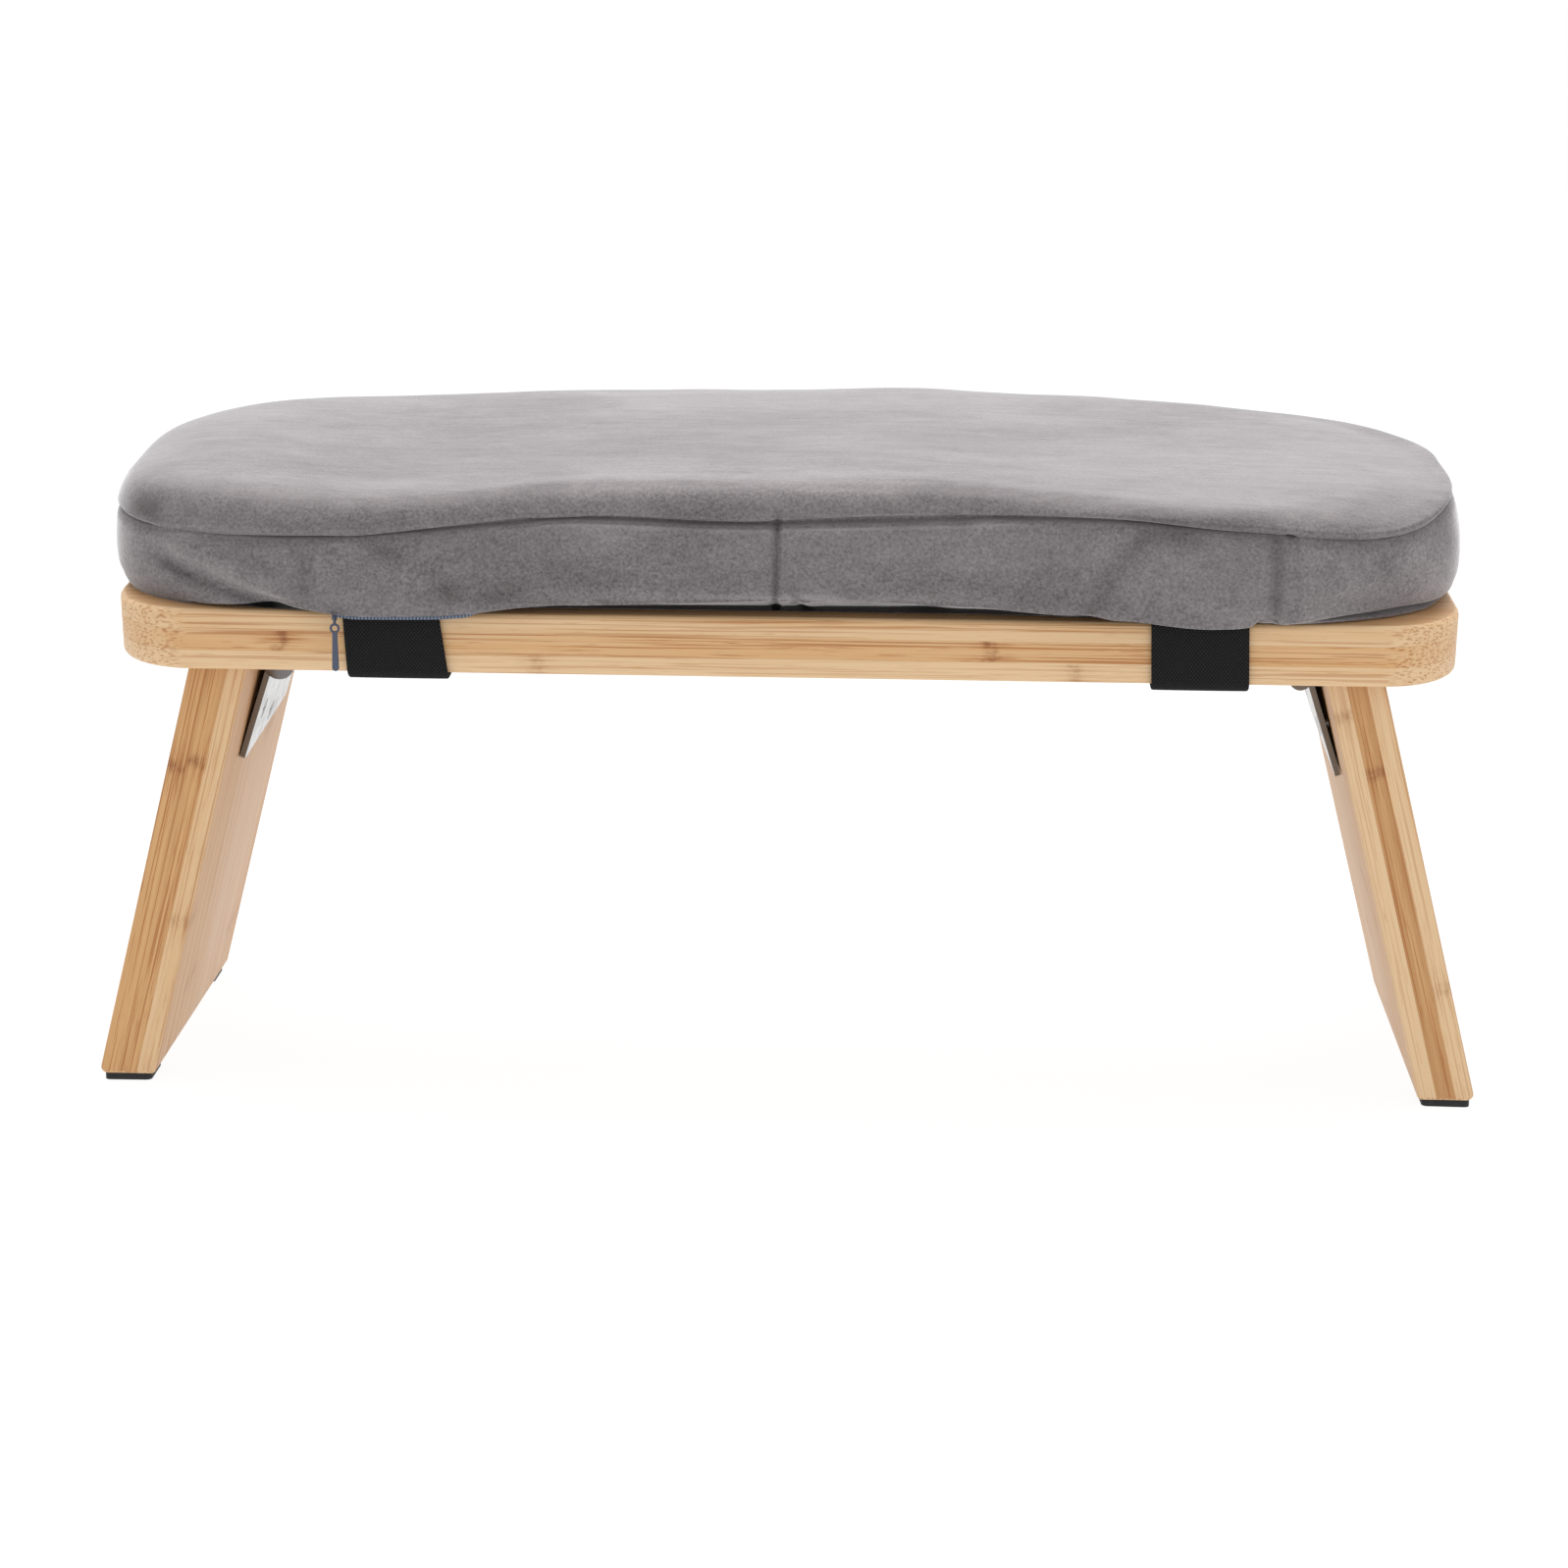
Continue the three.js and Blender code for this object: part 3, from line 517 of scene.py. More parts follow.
def leg_mesh(side):
    """Eight corners on two planes, the floor-parallel foot and the board's underside."""
    place = leg_place(side)
    back = place.inverted()
    corners = [(x, y * leg_depth / 2) for x, y in ((0, -1), (leg_thickness, -1), (leg_thickness, 1), (0, 1))]
    layers = []
    for drop, plane_up in ((leg_height, Vector((0, 0, 1))), (touch_gap, seat_up)):
        up = back.to_3x3() @ plane_up
        on = back @ (leg_turn(side) @ Vector((leg_inner_x, 0, -drop)))
        layers.append([(x, y, on.z - (up.x * (x - on.x) + up.y * (y - on.y)) / up.z) for x, y in corners])
    shape = bmesh.new()
    (foot, _), _ = add_loft(shape, layers)
    add_bevel(shape, [shape.edges.get(foot[1:3])], leg_foot_round, 5)
    sharp = [edge for edge in shape.edges if edge.calc_face_angle() > math.radians(40)]
    add_bevel(shape, sharp, leg_edge_round)
    return mesh_from_bmesh(f"{side}_leg_wood", shape, place)


def grain_of_leg(side):
    """Leg axes turned so that X runs along the grain, Y from the front strip back and Z through the
    plies, from the inner face out."""
    sign = 1 if side == "right" else -1
    swap = Matrix(((0, 0, -sign, 0), (0, sign, 0, 0), (1, 0, 0, 0), (0, 0, 0, 1)))
    return leg_place(side) @ swap.inverted()


# seed, depth of the front row in mm, plies' tones, their joints' places and spacings in mm
wood_patterns = {
    "board": (3.0, -70, (0.12, 0.72, 0.3), (-81, -166, 137), (178, 235, 260)),
    "left_leg": (11.0, -55, (0.15, 1.0, 1.05), (150, 210, -44), (250, 250, 250)),
    "right_leg": (17.0, -55, (0.1, 1.35, 0.2), (15, 37, 120), (250, 250, 250)),
}


def patterned(name, place, thickness):
    seed, front_row, *plies = wood_patterns[name]
    return [bamboo(f"{name}_bamboo", place, thickness, seed, front_row * mm, *plies)]


wood = patterned("board", seat, board_thickness)
piece_from("bench_board", board_mesh(), wood, "seat", "bamboo", "seat_board")
for leg_side in ("left", "right"):
    leg = f"{leg_side}_leg"
    wood = patterned(leg, grain_of_leg(leg_side), leg_thickness)
    piece_from(f"{leg}_wood", leg_mesh(leg_side), wood, f"{leg}_assembly", "bamboo", leg)
print("wood pieces made")

# %% [markdown]
# The cushion is a boxed, bean-shaped cover: a flat base, an upright band, and a top panel sewn to the band
# along a seam. Seen from above, its outline is two half superellipses with a dent pressed into the front. It
# is built as rings of that outline, each with its own inset and height. The seam isn't level on a sewn
# cushion, so its height runs along a table of places read from the photograph.

# %% Cushion sizes
left_reach, right_reach = 229.0, 225.8
front_reach, back_reach = 92.0, 98.0
dent_depth, dent_inner, dent_outer = 20.0, 55.0, 145.0
front_fullness, back_left_fullness, back_right_fullness = 4.3, 2.65, 2.4
crown_height = 40.9
band_bulge = 1.6
ring_points = 400
denser_places = ((-1.6, 5.0, 4.0), (4.0, 6.0, 1.0), (165.0, 9.0, 1.5), (-185.0, 25.0, 0.5))

seam_places = [-229, -194, -160, -114, -77, -38, -19, 20, 59, 115, 153, 192, 204, 215, 221, 225]
seam_heights = [25.5, 25, 25.7, 28.4, 29.9, 29.1, 28, 29.7, 31.2, 34.6, 31.9, 27.4, 28.2, 30.2, 33.2, 34.4]
seam_back_places = [-229, -150, 0, 150, 205, 225]
seam_back_heights = [25.5, 31, 32, 34, 34.4, 34.4]
droop_places = [-229, -195, -174, -154, -115, -96, -58, 59, 174, 194, 215, 229]
droop_heights = [-1.6, -2.6, -0.6, 0.2, -0.4, 0.2, 0.3, 0.3, 1.2, -0.5, 1.2, 0.8]
crown_places = [-229, -210, -192, -174, -155, -119, -100, -82, -64, -46, -9, 9, 27, 46, 64, 82, 119, 155, 192,
                210, 226]
crown_changes = [-1, 0.2, 0.8, 0.2, -1.2, -1.8, -1, -0.3, -0.4, 0.2, -0.2, 0.7, 1.2, 1.6, 0.7, -0.6, -1,
                 -1.6, -3, -4.9, -5.6]


def ramp(values, start, end):
    """0 before start, 1 after end and smooth between."""
    share = np.clip((values - start) / (end - start), 0, 1)
    return share * share * (3 - 2 * share)


def front_dent(x):
    return dent_depth * (1 - ramp(np.abs(x), dent_inner, dent_outer))


def cushion_outline(count, samples=7200):
    """Points round the cushion, anticlockwise from its right end, closer together at the creases."""
    angle = np.linspace(0, 2 * np.pi, samples, endpoint=False)
    cos, sin = np.cos(angle), np.sin(angle)
    front, to_right = sin < 0, cos > 0
    back_fullness = np.where(to_right, back_right_fullness, back_left_fullness)
    power = 2 / np.where(front, front_fullness, back_fullness)
    x = np.where(to_right, right_reach, left_reach) * np.sign(cos) * np.abs(cos) ** power
    y = np.where(front, front_reach, back_reach) * np.sign(sin) * np.abs(sin) ** power
    y = y + front_dent(x) * front
    closed = np.column_stack([np.append(x, x[0]), np.append(y, y[0])])
    density = np.ones(samples)
    for place, reach, gain in denser_places:
        density += gain * np.exp(-((x - place) / reach) ** 2) * front
    run = np.concatenate([[0], np.cumsum(np.linalg.norm(np.diff(closed, axis=0), axis=1) * density)])
    steps = np.linspace(0, run[-1], count, endpoint=False)
    return np.column_stack([np.interp(steps, run, values) for values in closed.T])


def smoothed_round(values, reach):
    """A running mean round a closed ring of values, done twice."""
    kernel = np.ones(2 * reach + 1) / (2 * reach + 1)
    for _ in range(2):
        values = np.convolve(np.concatenate([values[-reach:], values, values[:reach]]), kernel, "valid")
    return values


def seam_line(outline):
    x, y = outline.T
    front = np.interp(x, seam_places, seam_heights)
    back = np.interp(x, seam_back_places, seam_back_heights)
    return smoothed_round(np.where(y < 0, front, back), 3)


print("seam from", min(seam_heights), "to", max(seam_heights), "mm above the base")

# %% [markdown]
# Ring tables give the section: how far each ring lies inside the outline, and its height. Rings crowd
# together at the base, at the seam and on the shoulder, where the surface turns quickly. In front, the
# lower edge is a lifted hem with a notch under it, and further right it is folded under. The top rolls
# in steeply at the seam, then gently, and is closed by rings that shrink towards the middle.

# %% Cushion rings
base_shares = (0.04, 0.3, 0.5, 0.66, 0.78, 0.86)
# each ring's inset and height at the plain edge, at the notch and at the folded hem, then its share of
# the lip
hem_rings = (
    (7, 0, 12, 0, 7, 0, 0),
    (4, 0, 11, 0, 2.6, 0, 0),
    (2.4, 0.15, 10.6, 0.3, 1.6, 0.3, 0),
    (1.5, 0.6, 10.4, 1, 1.4, 0.9, 0),
    (1, 1.2, 10.2, 1.9, 1.9, 1.5, 0),
    (0.7, 1.8, 9.4, 2.7, 5.5, 1.8, 0),
    (0.5, 2.4, 5, 2.9, 5.3, 2.3, 0.1),
    (0.3, 3, 1.2, 2.9, 0.9, 2.7, 1),
    (0.1, 3.6, 0.3, 3.3, 0.1, 3.3, 0.92),
    (-0.1, 4.3, -0.1, 4.2, -0.1, 4.2, 0.75),
    (-0.3, 5.4, -0.3, 5.6, -0.3, 5.6, 0.5),
)
rings_behind_lip = 7
lip_rest_height = 2.9
notch_span, folded_span = (-199, 157, 8, 4), (160, 222, 4, 8)
shallow_notch, shallow_end, deep_start = 0.36, -150, -115
lip_places = [-199, -192, -180, -166, -152, -141, -129, -112, -105, -85, -50, -25, -2, 25, 57, 90, 112, 125,
              137, 150, 164, 172, 185, 206, 216, 222]
lip_heights = [-0.2, 0.4, 1.5, 2.6, 0.2, -0.9, -0.7, -0.4, 0.1, 2.8, 3.6, 4.8, 5.8, 5.1, 4.5, 3, 2, 0.2, -1.2,
               -1, 0, 1.2, 3, 4, 3.4, 2.9]
hem_reach_share = 0.76
hem_hang_reach, hem_hang_height, hem_fade_height = 6, 12, 9
end_draw, end_draw_start, end_draw_end = 2.6, 196, 222
zip_open_end, zip_tuck_fade, zip_rise_fade = -104, 14, 10
zip_inset, zip_rise, zip_hidden_rise, zip_height_limit = 1.1, 0.1, 1, 2.1
zip_hidden_tuck = 12.5
band_shares = (0.26, 0.34, 0.42, 0.5, 0.58, 0.66, 0.74, 0.82, 0.88, 0.93)
seam_rings = ((-0.2, -1.7), (0, -1.1), (0.5, -0.6), (2.6, -0.2), (2.8, 0.2), (0.8, 0.5), (0, 0.9),
              (-0.4, 1.7))
roll_insets = (0.1, 0.8, 1.7, 2.8, 4.1, 5.8, 8)
gentle_share, gentle_reach = 0.2, 12
steep_places, steep_reaches = [150, 195], [3.3, 7.5]
top_shares = (0.975, 0.95, 0.92, 0.885, 0.84, 0.79, 0.73, 0.66, 0.58, 0.5, 0.41, 0.32, 0.23, 0.14, 0.06,
              0.015)


def inset_ring(outline, inset):
    along = np.roll(outline, -1, axis=0) - np.roll(outline, 1, axis=0)
    along /= np.linalg.norm(along, axis=1)[:, None]
    inward = np.array([-along[:, 1], along[:, 0]]).T
    return outline + inward * np.asarray(inset).reshape(-1, 1)


def plateau(values, start, end, fade_in, fade_out):
    """1 from start to end, with its fades inside, and 0 past them."""
    return ramp(values, start, start + fade_in) * (1 - ramp(values, end - fade_out, end))


def zip_tuck(x):
    """How far the zip slips inward past its open part, beside the pull."""
    return zip_hidden_tuck * ramp(x, zip_open_end, zip_open_end + zip_tuck_fade)


def zip_heights(x):
    rise = zip_rise + zip_hidden_rise * ramp(x, zip_open_end, zip_open_end + zip_rise_fade)
    return np.minimum(np.interp(x, lip_places, lip_heights) + rise, zip_height_limit)


def lower_outline(points):
    """The hem's outline: it bulges forward past the dent, so the band leans back there."""
    x, y = points.T
    return np.column_stack([x, y - hem_reach_share * front_dent(x) * (y < 0)])


def crown_at(x):
    """Height of the top above the base along the cushion, smoothed from its table."""
    places = np.arange(-260.0, 261.0)
    heights = smoothed_round(crown_height + np.interp(places, crown_places, crown_changes), 9)
    return np.interp(x, places, heights)


def risen(depth, steep_reach):
    """Share of the rise that the top has gained at a depth inside the seam: a steep roll, then gentle."""
    steep = (1 - gentle_share) * np.exp(-depth / steep_reach)
    return 1 - steep - gentle_share * np.exp(-depth / gentle_reach)


def cushion_rings(outline):
    """Every ring's points, from the middle of the base up and over to the middle of the top."""
    x, y = outline.T
    in_front = y < 0
    seam, lower = seam_line(outline), lower_outline(outline)
    droop = smoothed_round(np.where(in_front, np.interp(x, droop_places, droop_heights), 0), 3)
    middle = np.array([0, (back_reach - front_reach + dent_depth) / 2])
    rings = []

    def ring(points, height):
        rings.append(np.column_stack([points, np.broadcast_to(height, len(points))]))

    floor_edge = inset_ring(lower, hem_rings[0][0])
    for share in base_shares:
        ring(middle + (floor_edge - middle) * share, 0.0)
    notch, folded = plateau(x, *notch_span) * in_front, plateau(x, *folded_span) * in_front
    lift = (notch + folded) * (smoothed_round(np.interp(x, lip_places, lip_heights), 1) - lip_rest_height)
    notch_share = shallow_notch + (1 - shallow_notch) * ramp(x, shallow_end, deep_start)
    for inset, height, gap_inset, gap_height, fold_inset, fold_height, lip in hem_rings:
        near_edge = np.clip((hem_hang_reach - inset) / hem_hang_reach, 0, 1)
        hang = near_edge * np.clip(1 - height / hem_hang_height, 0, 1) * (1 - notch - folded)
        inset = inset + (gap_inset * notch_share - inset) * notch + (fold_inset - inset) * folded
        height = height + (gap_height - height) * notch + (fold_height - height) * folded
        ring(inset_ring(lower, inset), height + droop * hang + lift * lip)
    drawn_in = end_draw * ramp(x, end_draw_start, end_draw_end)
    for share in band_shares:
        bulge = band_bulge * np.sin(np.pi * share) ** 0.8
        hanging = lift * np.clip(1 - (share * seam - lip_rest_height) / hem_fade_height, 0, 1) ** 2
        leaning = lower + (outline - lower) * share
        ring(inset_ring(leaning, drawn_in * share ** 3 - bulge), share * seam + hanging)
    for inset, height in seam_rings:
        ring(inset_ring(outline, inset + drawn_in), seam + height)

    welt_inset, welt_height = seam_rings[-1]
    fall = crown_at(x) - (seam + welt_height)
    steep_reach = np.interp(x, steep_places, steep_reaches)

    def top_ring(points, depth):
        ring(points, crown_at(points[:, 0]) - fall * (1 - risen(depth, steep_reach)))

    for inset in roll_insets:
        top_ring(inset_ring(outline, inset + drawn_in), inset - welt_inset)
    edge = inset_ring(outline, roll_insets[-1] + drawn_in)
    reach = np.einsum("ij,ij->i", edge - middle, outline - inset_ring(outline, 1.0))
    for share in top_shares:
        top_ring(middle + (edge - middle) * share, roll_insets[-1] - welt_inset + (1 - share) * reach)
    return np.array(rings)


def ring_faces(ring_count, count):
    """Quads between rings. The first and last rings are zipped shut by quads from side to side, because
    hundreds of edges meeting in one point would be slow to subdivide."""
    faces = []
    last = (ring_count - 1) * count
    for index in range(count):
        after = (index + 1) % count
        for ring in range(ring_count - 1):
            low, high = ring * count, (ring + 1) * count
            faces.append((low + index, low + after, high + after, high + index))
    for index in range(count // 2):
        across, across_after = (count - index) % count, count - index - 1
        quad = list(dict.fromkeys((index, index + 1, across_after, across)))
        faces.append(tuple(last + corner for corner in quad))
        faces.append(tuple(quad[::-1]))
    return faces


rings = cushion_rings(cushion_outline(ring_points))
cushion_points = rings.reshape(-1, 3)
cushion_faces = ring_faces(len(rings), ring_points)
print(f"cushion: {len(rings)} rings of {ring_points} points")

# %% [markdown]
# Cloth is blown up to find where a filled cover swells and where it pulls in. A slightly smaller copy
# of the cushion is remeshed into even faces and simulated under pressure for 20 frames. Its shift is
# capped, its even part is taken off so that the cushion keeps its measured size, and what remains is
# carried over to the fine mesh by its nearest points.

# %% Cloth swell
cloth_voxel = 5.5 * mm
cloth_frames = 20
cloth_settings = {
    "quality": 5, "mass": 0.3, "use_pressure": True, "uniform_pressure_force": 4.0,
    "tension_stiffness": 25, "compression_stiffness": 25, "bending_stiffness": 2,
}
copy_shares = [0.99, 0.975, 0.93]
cloth_cap, swell_limit, swell_kept_share = 9.0, 3.0, 0.45
carried_from, carried_softness = 6, 2.0


def mesh_of(name, points, faces, place=Matrix.Identity(4), edges=()):
    mesh = bpy.data.meshes.new(name)
    mesh.from_pydata((np.asarray(points) * mm).tolist(), edges, faces)
    mesh.transform(place)
    mesh.update()
    return mesh


def vertex_array(mesh, attribute="co"):
    values = np.empty(len(mesh.vertices) * 3)
    mesh.vertices.foreach_get(attribute, values)
    return values.reshape(-1, 3)


def final_mesh(thing):
    """A new mesh of the object with its modifiers carried out."""
    graph = bpy.context.evaluated_depsgraph_get()
    return bpy.data.meshes.new_from_object(thing.evaluated_get(graph))


def swell_of(points, faces):
    """Shift of each point under pressure, in mm, from a coarse simulated copy."""
    middle = np.array([0, 0, crown_height / 2])
    shrunk = (points - middle) * copy_shares + middle
    copy = linked("cloth_copy", mesh_of("cloth_copy", shrunk, faces))
    remesh = copy.modifiers.new("even_faces", "REMESH")
    remesh.mode, remesh.voxel_size = "VOXEL", cloth_voxel
    coarse = final_mesh(copy)
    copy.modifiers.clear()
    copy.data = coarse
    rest, rest_normals = vertex_array(coarse) / mm, vertex_array(coarse, "normal")

    cloth = copy.modifiers.new("cloth", "CLOTH")
    for name, value in cloth_settings.items():
        setattr(cloth.settings, name, value)
    cloth.settings.effector_weights.gravity = 0
    cloth.point_cache.frame_start, cloth.point_cache.frame_end = 1, cloth_frames
    scene = bpy.context.scene
    for frame_number in range(1, cloth_frames + 1):
        scene.frame_set(frame_number)
    shift = vertex_array(final_mesh(copy)) / mm - rest
    scene.frame_set(1)
    bpy.data.objects.remove(copy)

    outward = np.clip(np.einsum("ij,ij->i", shift, rest_normals), -cloth_cap, cloth_cap)
    outward -= np.median(outward)
    tree = kdtree.KDTree(len(rest))
    for index, place in enumerate(rest):
        tree.insert(place, index)
    tree.balance()
    swell = np.zeros(len(points))
    for index, place in enumerate(shrunk):
        near = tree.find_n(place, carried_from)
        weights = np.array([1 / (found[2] + carried_softness) for found in near])
        swell[index] = weights @ outward[[found[1] for found in near]] / weights.sum()
    print(f"cloth: {len(rest)} points, swell from {swell.min():.1f} to {swell.max():.1f} mm about its median")
    around = swell.reshape(-1, ring_points)
    around = around - around.mean(axis=1)[:, None]
    around = np.array([smoothed_round(ring, 5) for ring in around])
    return np.clip(around, -swell_limit, swell_limit).ravel()


swell = swell_of(cushion_points, cushion_faces)

# %% [markdown]
# Creases are put in last, since the simulation would erase them. Each is a short line on the band, by
# its ends' places along the board and heights above the base: a narrow valley with a soft ridge beside
# it. Broad, shallow waves keep the rest of the cloth from looking machined. Nothing moves the flat
# base, which rests on the board.

# %% Creases and waves
# start x, start height, end x, end height, half width, valley depth, ridge height
front_creases = [
    (-207, 17, -163, 1, 3.8, 2.4, 1.9),
    (-1.6, 30, -1.6, 0, 0.8, 1.7, 0.35),
    (3, 8, 8, 1, 1.3, 0.8, 0.6),
    (20, 8.5, 30, 5, 1.8, 0.8, 0.5),
    (36, 5, 52, 2.5, 1.6, 0.7, 0.4),
    (111, 30, 100, 3, 4.5, 1.6, 1),
    (164.5, 31, 166, 1, 2.4, 2, 1.3),
    (168, 7, 206, 9, 3, 0.8, 0.7),
    (-150, 20, -120, 9, 6, 0.8, 0.5),
    (-90, 27, -70, 6, 7, 0.7, 0.6),
    (58, 28, 70, 6, 6, 0.8, 0.6),
    (196, 26, 204, 6, 6, 0.8, 0.6),
]
# painted shade: the rings under the lifted hem, seen through the gap, are painted dark for the deep shade
# there
gap_painted_shade = -0.47
# length, size, seed
wave_sets = [(95, 0.55, 5), (38, 0.22, 9), (17, 0.07, 12)]
# start x, start height, end x, end height, half width, and how much paler the mark is painted: painted shade
# along creases, the seam line and under the seam, painted light on the band's ends, the ridges and the top's
# front, with some brushed pile
shade_light_and_pile_marks = [
    (-133, 23, -124, 21, 2.5, -0.2), (-155, 23, -157, 6, 3.5, -0.1), (-114, 9, -104, 8, 4, -0.14),
    (-97, 8, -88, 8, 4, -0.1), (-207, 14, -170, 1, 1.8, -0.22), (-200, 18, -168, 7, 3, 0.07),
    (-216, 31, -206, 28, 5, -0.22), (108, 20, 102, 6, 3.5, -0.13), (118, 31, 113, 22, 4, -0.12),
    (124, 31, 134, 29, 4, -0.14), (160, 30, 161, 5, 2.4, -0.2), (197, 24, 197, 14, 3, -0.1),
    (215, 29, 220, 20, 3.5, -0.12), (209, 24, 214, 4, 9, 0.16), (-1.6, 30, -1.6, 0, 0.8, -0.3),
    (4, 9, 9, 1, 2, -0.12), (36, 5, 52, 3, 2, -0.1), (-222, 24, -219, 5, 6, 0.07),
    (-70, 38, 40, 38, 2.4, 0.14), (146, 26, 146, 8, 13, -0.05), (-224, 26, -224, 8, 8, 0.05),
    (112, 36.5, 158, 34.5, 2.4, -0.12), (110, 31, 158, 29, 3.5, -0.07), (60, 30, 72, 12, 8, 0.05),
    (-60, 27, -40, 8, 9, 0.05),
]
line_end_reach, line_end_fade = 5, 8
marks_front, creases_front, front_fade = 30, 45, 12
crease_top, crease_top_fade = 34, 4
flat_base, base_fade = 0.4, 3.0
gap_shade_fade = 12


def along_and_off(x, height, x0, h0, x1, h1):
    """Fade along a short line on the band, and distance from it."""
    along = np.array([x1 - x0, h1 - h0], dtype=float)
    length = np.linalg.norm(along)
    along /= length
    run = (x - x0) * along[0] + (height - h0) * along[1]
    off = -(x - x0) * along[1] + (height - h0) * along[0]
    begun, left = ((part + line_end_reach) / line_end_fade for part in (run, length - run))
    return np.clip(begun, 0, 1) * np.clip(left, 0, 1), off


def crease_shift(x, height, crease):
    *line, half_width, depth, ridge = crease
    fade, off = along_and_off(x, height, *line)
    valley = -depth * np.exp(-(off / half_width) ** 2)
    side = ridge * np.exp(-((off - 1.9 * half_width) / (1.3 * half_width)) ** 2)
    return fade * (valley + side)


def hidden_under(points):
    """1 on the rings that turn in under the lifted hem, where the gap is given a painted shade."""
    x, y, _ = points.T
    under = np.arange(len(points)) < (len(base_shares) + rings_behind_lip) * ring_points
    return under * plateau(x, *notch_span[:2], gap_shade_fade, gap_shade_fade) * (y < 0)


def painted_shade_with_pile(points):
    """How much paler, or darker below zero, each point of the front is painted: painted shade in the hem's
    gap, in creases and under the seam, painted light on the band's ends, ridges and the top's front, and
    brushed pile.
    """
    x, y, height = points.T
    on_front = np.clip((-y - marks_front) / front_fade, 0, 1)
    shade = gap_painted_shade * hidden_under(points)
    # each mark is painted shade or painted light along a short line, some of them brushed pile
    for *line, half_width, amount in shade_light_and_pile_marks:
        fade, off = along_and_off(x, height, *line)
        shade += amount * fade * np.exp(-(off / half_width) ** 2) * on_front
    return shade


def waves(points, length, seed):
    """A gentle, seeded sum of sine waves that run in many directions."""
    random = np.random.default_rng(seed)
    total = np.zeros(len(points))
    for _ in range(9):
        way = random.normal(size=3)
        way /= np.linalg.norm(way)
        pitch = length * random.uniform(0.75, 1.35)
        total += np.sin(points @ way * 2 * np.pi / pitch + random.uniform(0, 2 * np.pi))
    return total / 3


def shaped(points, faces):
    """The points moved along their normals: the cloth's swell, the waves, then the creases."""
    normals = vertex_array(mesh_of("normals_only", points, faces), "normal")
    x, y, height = points.T
    above_base = np.clip((height - flat_base) / base_fade, 0, 1)
    sideways = np.clip(1.2 - np.abs(normals[:, 2]) * 1.6, 0, 1)
    below_top = np.clip((crease_top - height) / crease_top_fade, 0, 1)
    on_front = np.clip((-y - creases_front) / front_fade, 0, 1) * below_top
    shift = swell * swell_kept_share * above_base * (0.5 + 0.5 * sideways)
    for length, size, seed in wave_sets:
        shift += size * waves(points, length, seed) * above_base * (0.45 + 0.4 * sideways)
    for crease in front_creases:
        shift += crease_shift(x, height, crease) * on_front * above_base
    return points + normals * shift[:, None]


cushion_shade = painted_shade_with_pile(cushion_points)
cushion_points = shaped(cushion_points, cushion_faces)
cushion_place = seat @ Matrix.Translation((0, 0, cushion_base_z))
cushion_mesh = mesh_of("velvet_cushion", cushion_points, cushion_faces, cushion_place)
for polygon in cushion_mesh.polygons:
    polygon.use_smooth = True
# this point attribute carries the front's painted shade and painted light, with the brushed pile
shade_layer = cushion_mesh.attributes.new("painted_shade_with_pile", "FLOAT", "POINT")
shade_layer.data.foreach_set("value", cushion_shade)
print(len(front_creases), "creases and", len(shade_light_and_pile_marks), "brushed marks")

# %% [markdown]
# Velvet looks darker where it faces the eye and paler where the eye skims over its pile, which a sheen
# layer gives. Brushed patches are broad, soft noise that lifts or lowers both the colour and the
# sheen. Fine fibres are a short, dense bump.

# %% Velvet
velvet_grey = from_srgb(121, 116, 117)


def velvet():
    material, tree = open_tree("grey_velvet")
    place = local_position(tree, cushion_place)
    brushed = noise(place, (9, 16, 16), 4.0, 0.55, 0.8)
    mottled = noise(place, (110, 200, 200), 5.0, 0.7)
    creased = noise(place, (35, 260, 260), 3.0, 0.6, 0.5)
    pile = noise(place, 1000, 2.0, 0.7)
    upward = faced(tree, seat_up)
    on_top = upward.step(0.62, 0.94)
    # painted shade: the sloping rim between band and top is painted darker, by the way it faces
    painted_slope_shade = upward.step(0.12, 0.35) * on_top.rest()
    lined = (creased - 0.5) * (on_top * 0.5)
    specks = (pile - 0.5) * on_top.step(0.0, 1.0, 1.5, 0.7)
    tone = brushed.step(0.36, 0.66) * 0.18 + 0.88 + (mottled - 0.5) * 0.6 + (specks + lined)
    # the point attribute read here scales the tone by the front's painted shade and painted light
    shade = add(tree, "ShaderNodeAttribute", attribute_name="painted_shade_with_pile")["Fac"]
    tone = tone * painted_slope_shade.step(0.0, 1.0, 1.0, 0.86) * (shade * 1.8 + 1.0)
    grey = {0: velvet_grey[:3], "Scale": tone}
    close_tree(tree, {
        "Base Color": add(tree, "ShaderNodeVectorMath", grey, operation="SCALE")[0],
        "Roughness": 0.9,
        "Specular IOR Level": 0.15,
        "Sheen Weight": brushed.step(0.3, 0.7, 0.8, 1.0),
        "Sheen Roughness": 0.34,
        "Sheen Tint": (1.0, 0.99, 0.998, 1),
        "Normal": bump(pile + creased * 0.6, 0.25 * mm, 0.7),
    })
    return material


cushion = piece_from(
    "velvet_cushion", cushion_mesh, [velvet()], "seat", "velvet", "cushion_cover", "cushion_core",
)
finer = cushion.modifiers.new("one_subdivision", "SUBSURF")
finer.levels = finer.render_levels = 1
print("cushion made:", len(cushion_mesh.polygons), "faces before its subdivision")

# %% [markdown]
# The straps are flat elastic bands. A path in the Y and Z plane runs down the board's front, round its
# lower edges and up its back, and a thin rounded section is swept along it. The twill is a bump of
# short slanted dashes, laid out by place across the band and along it.

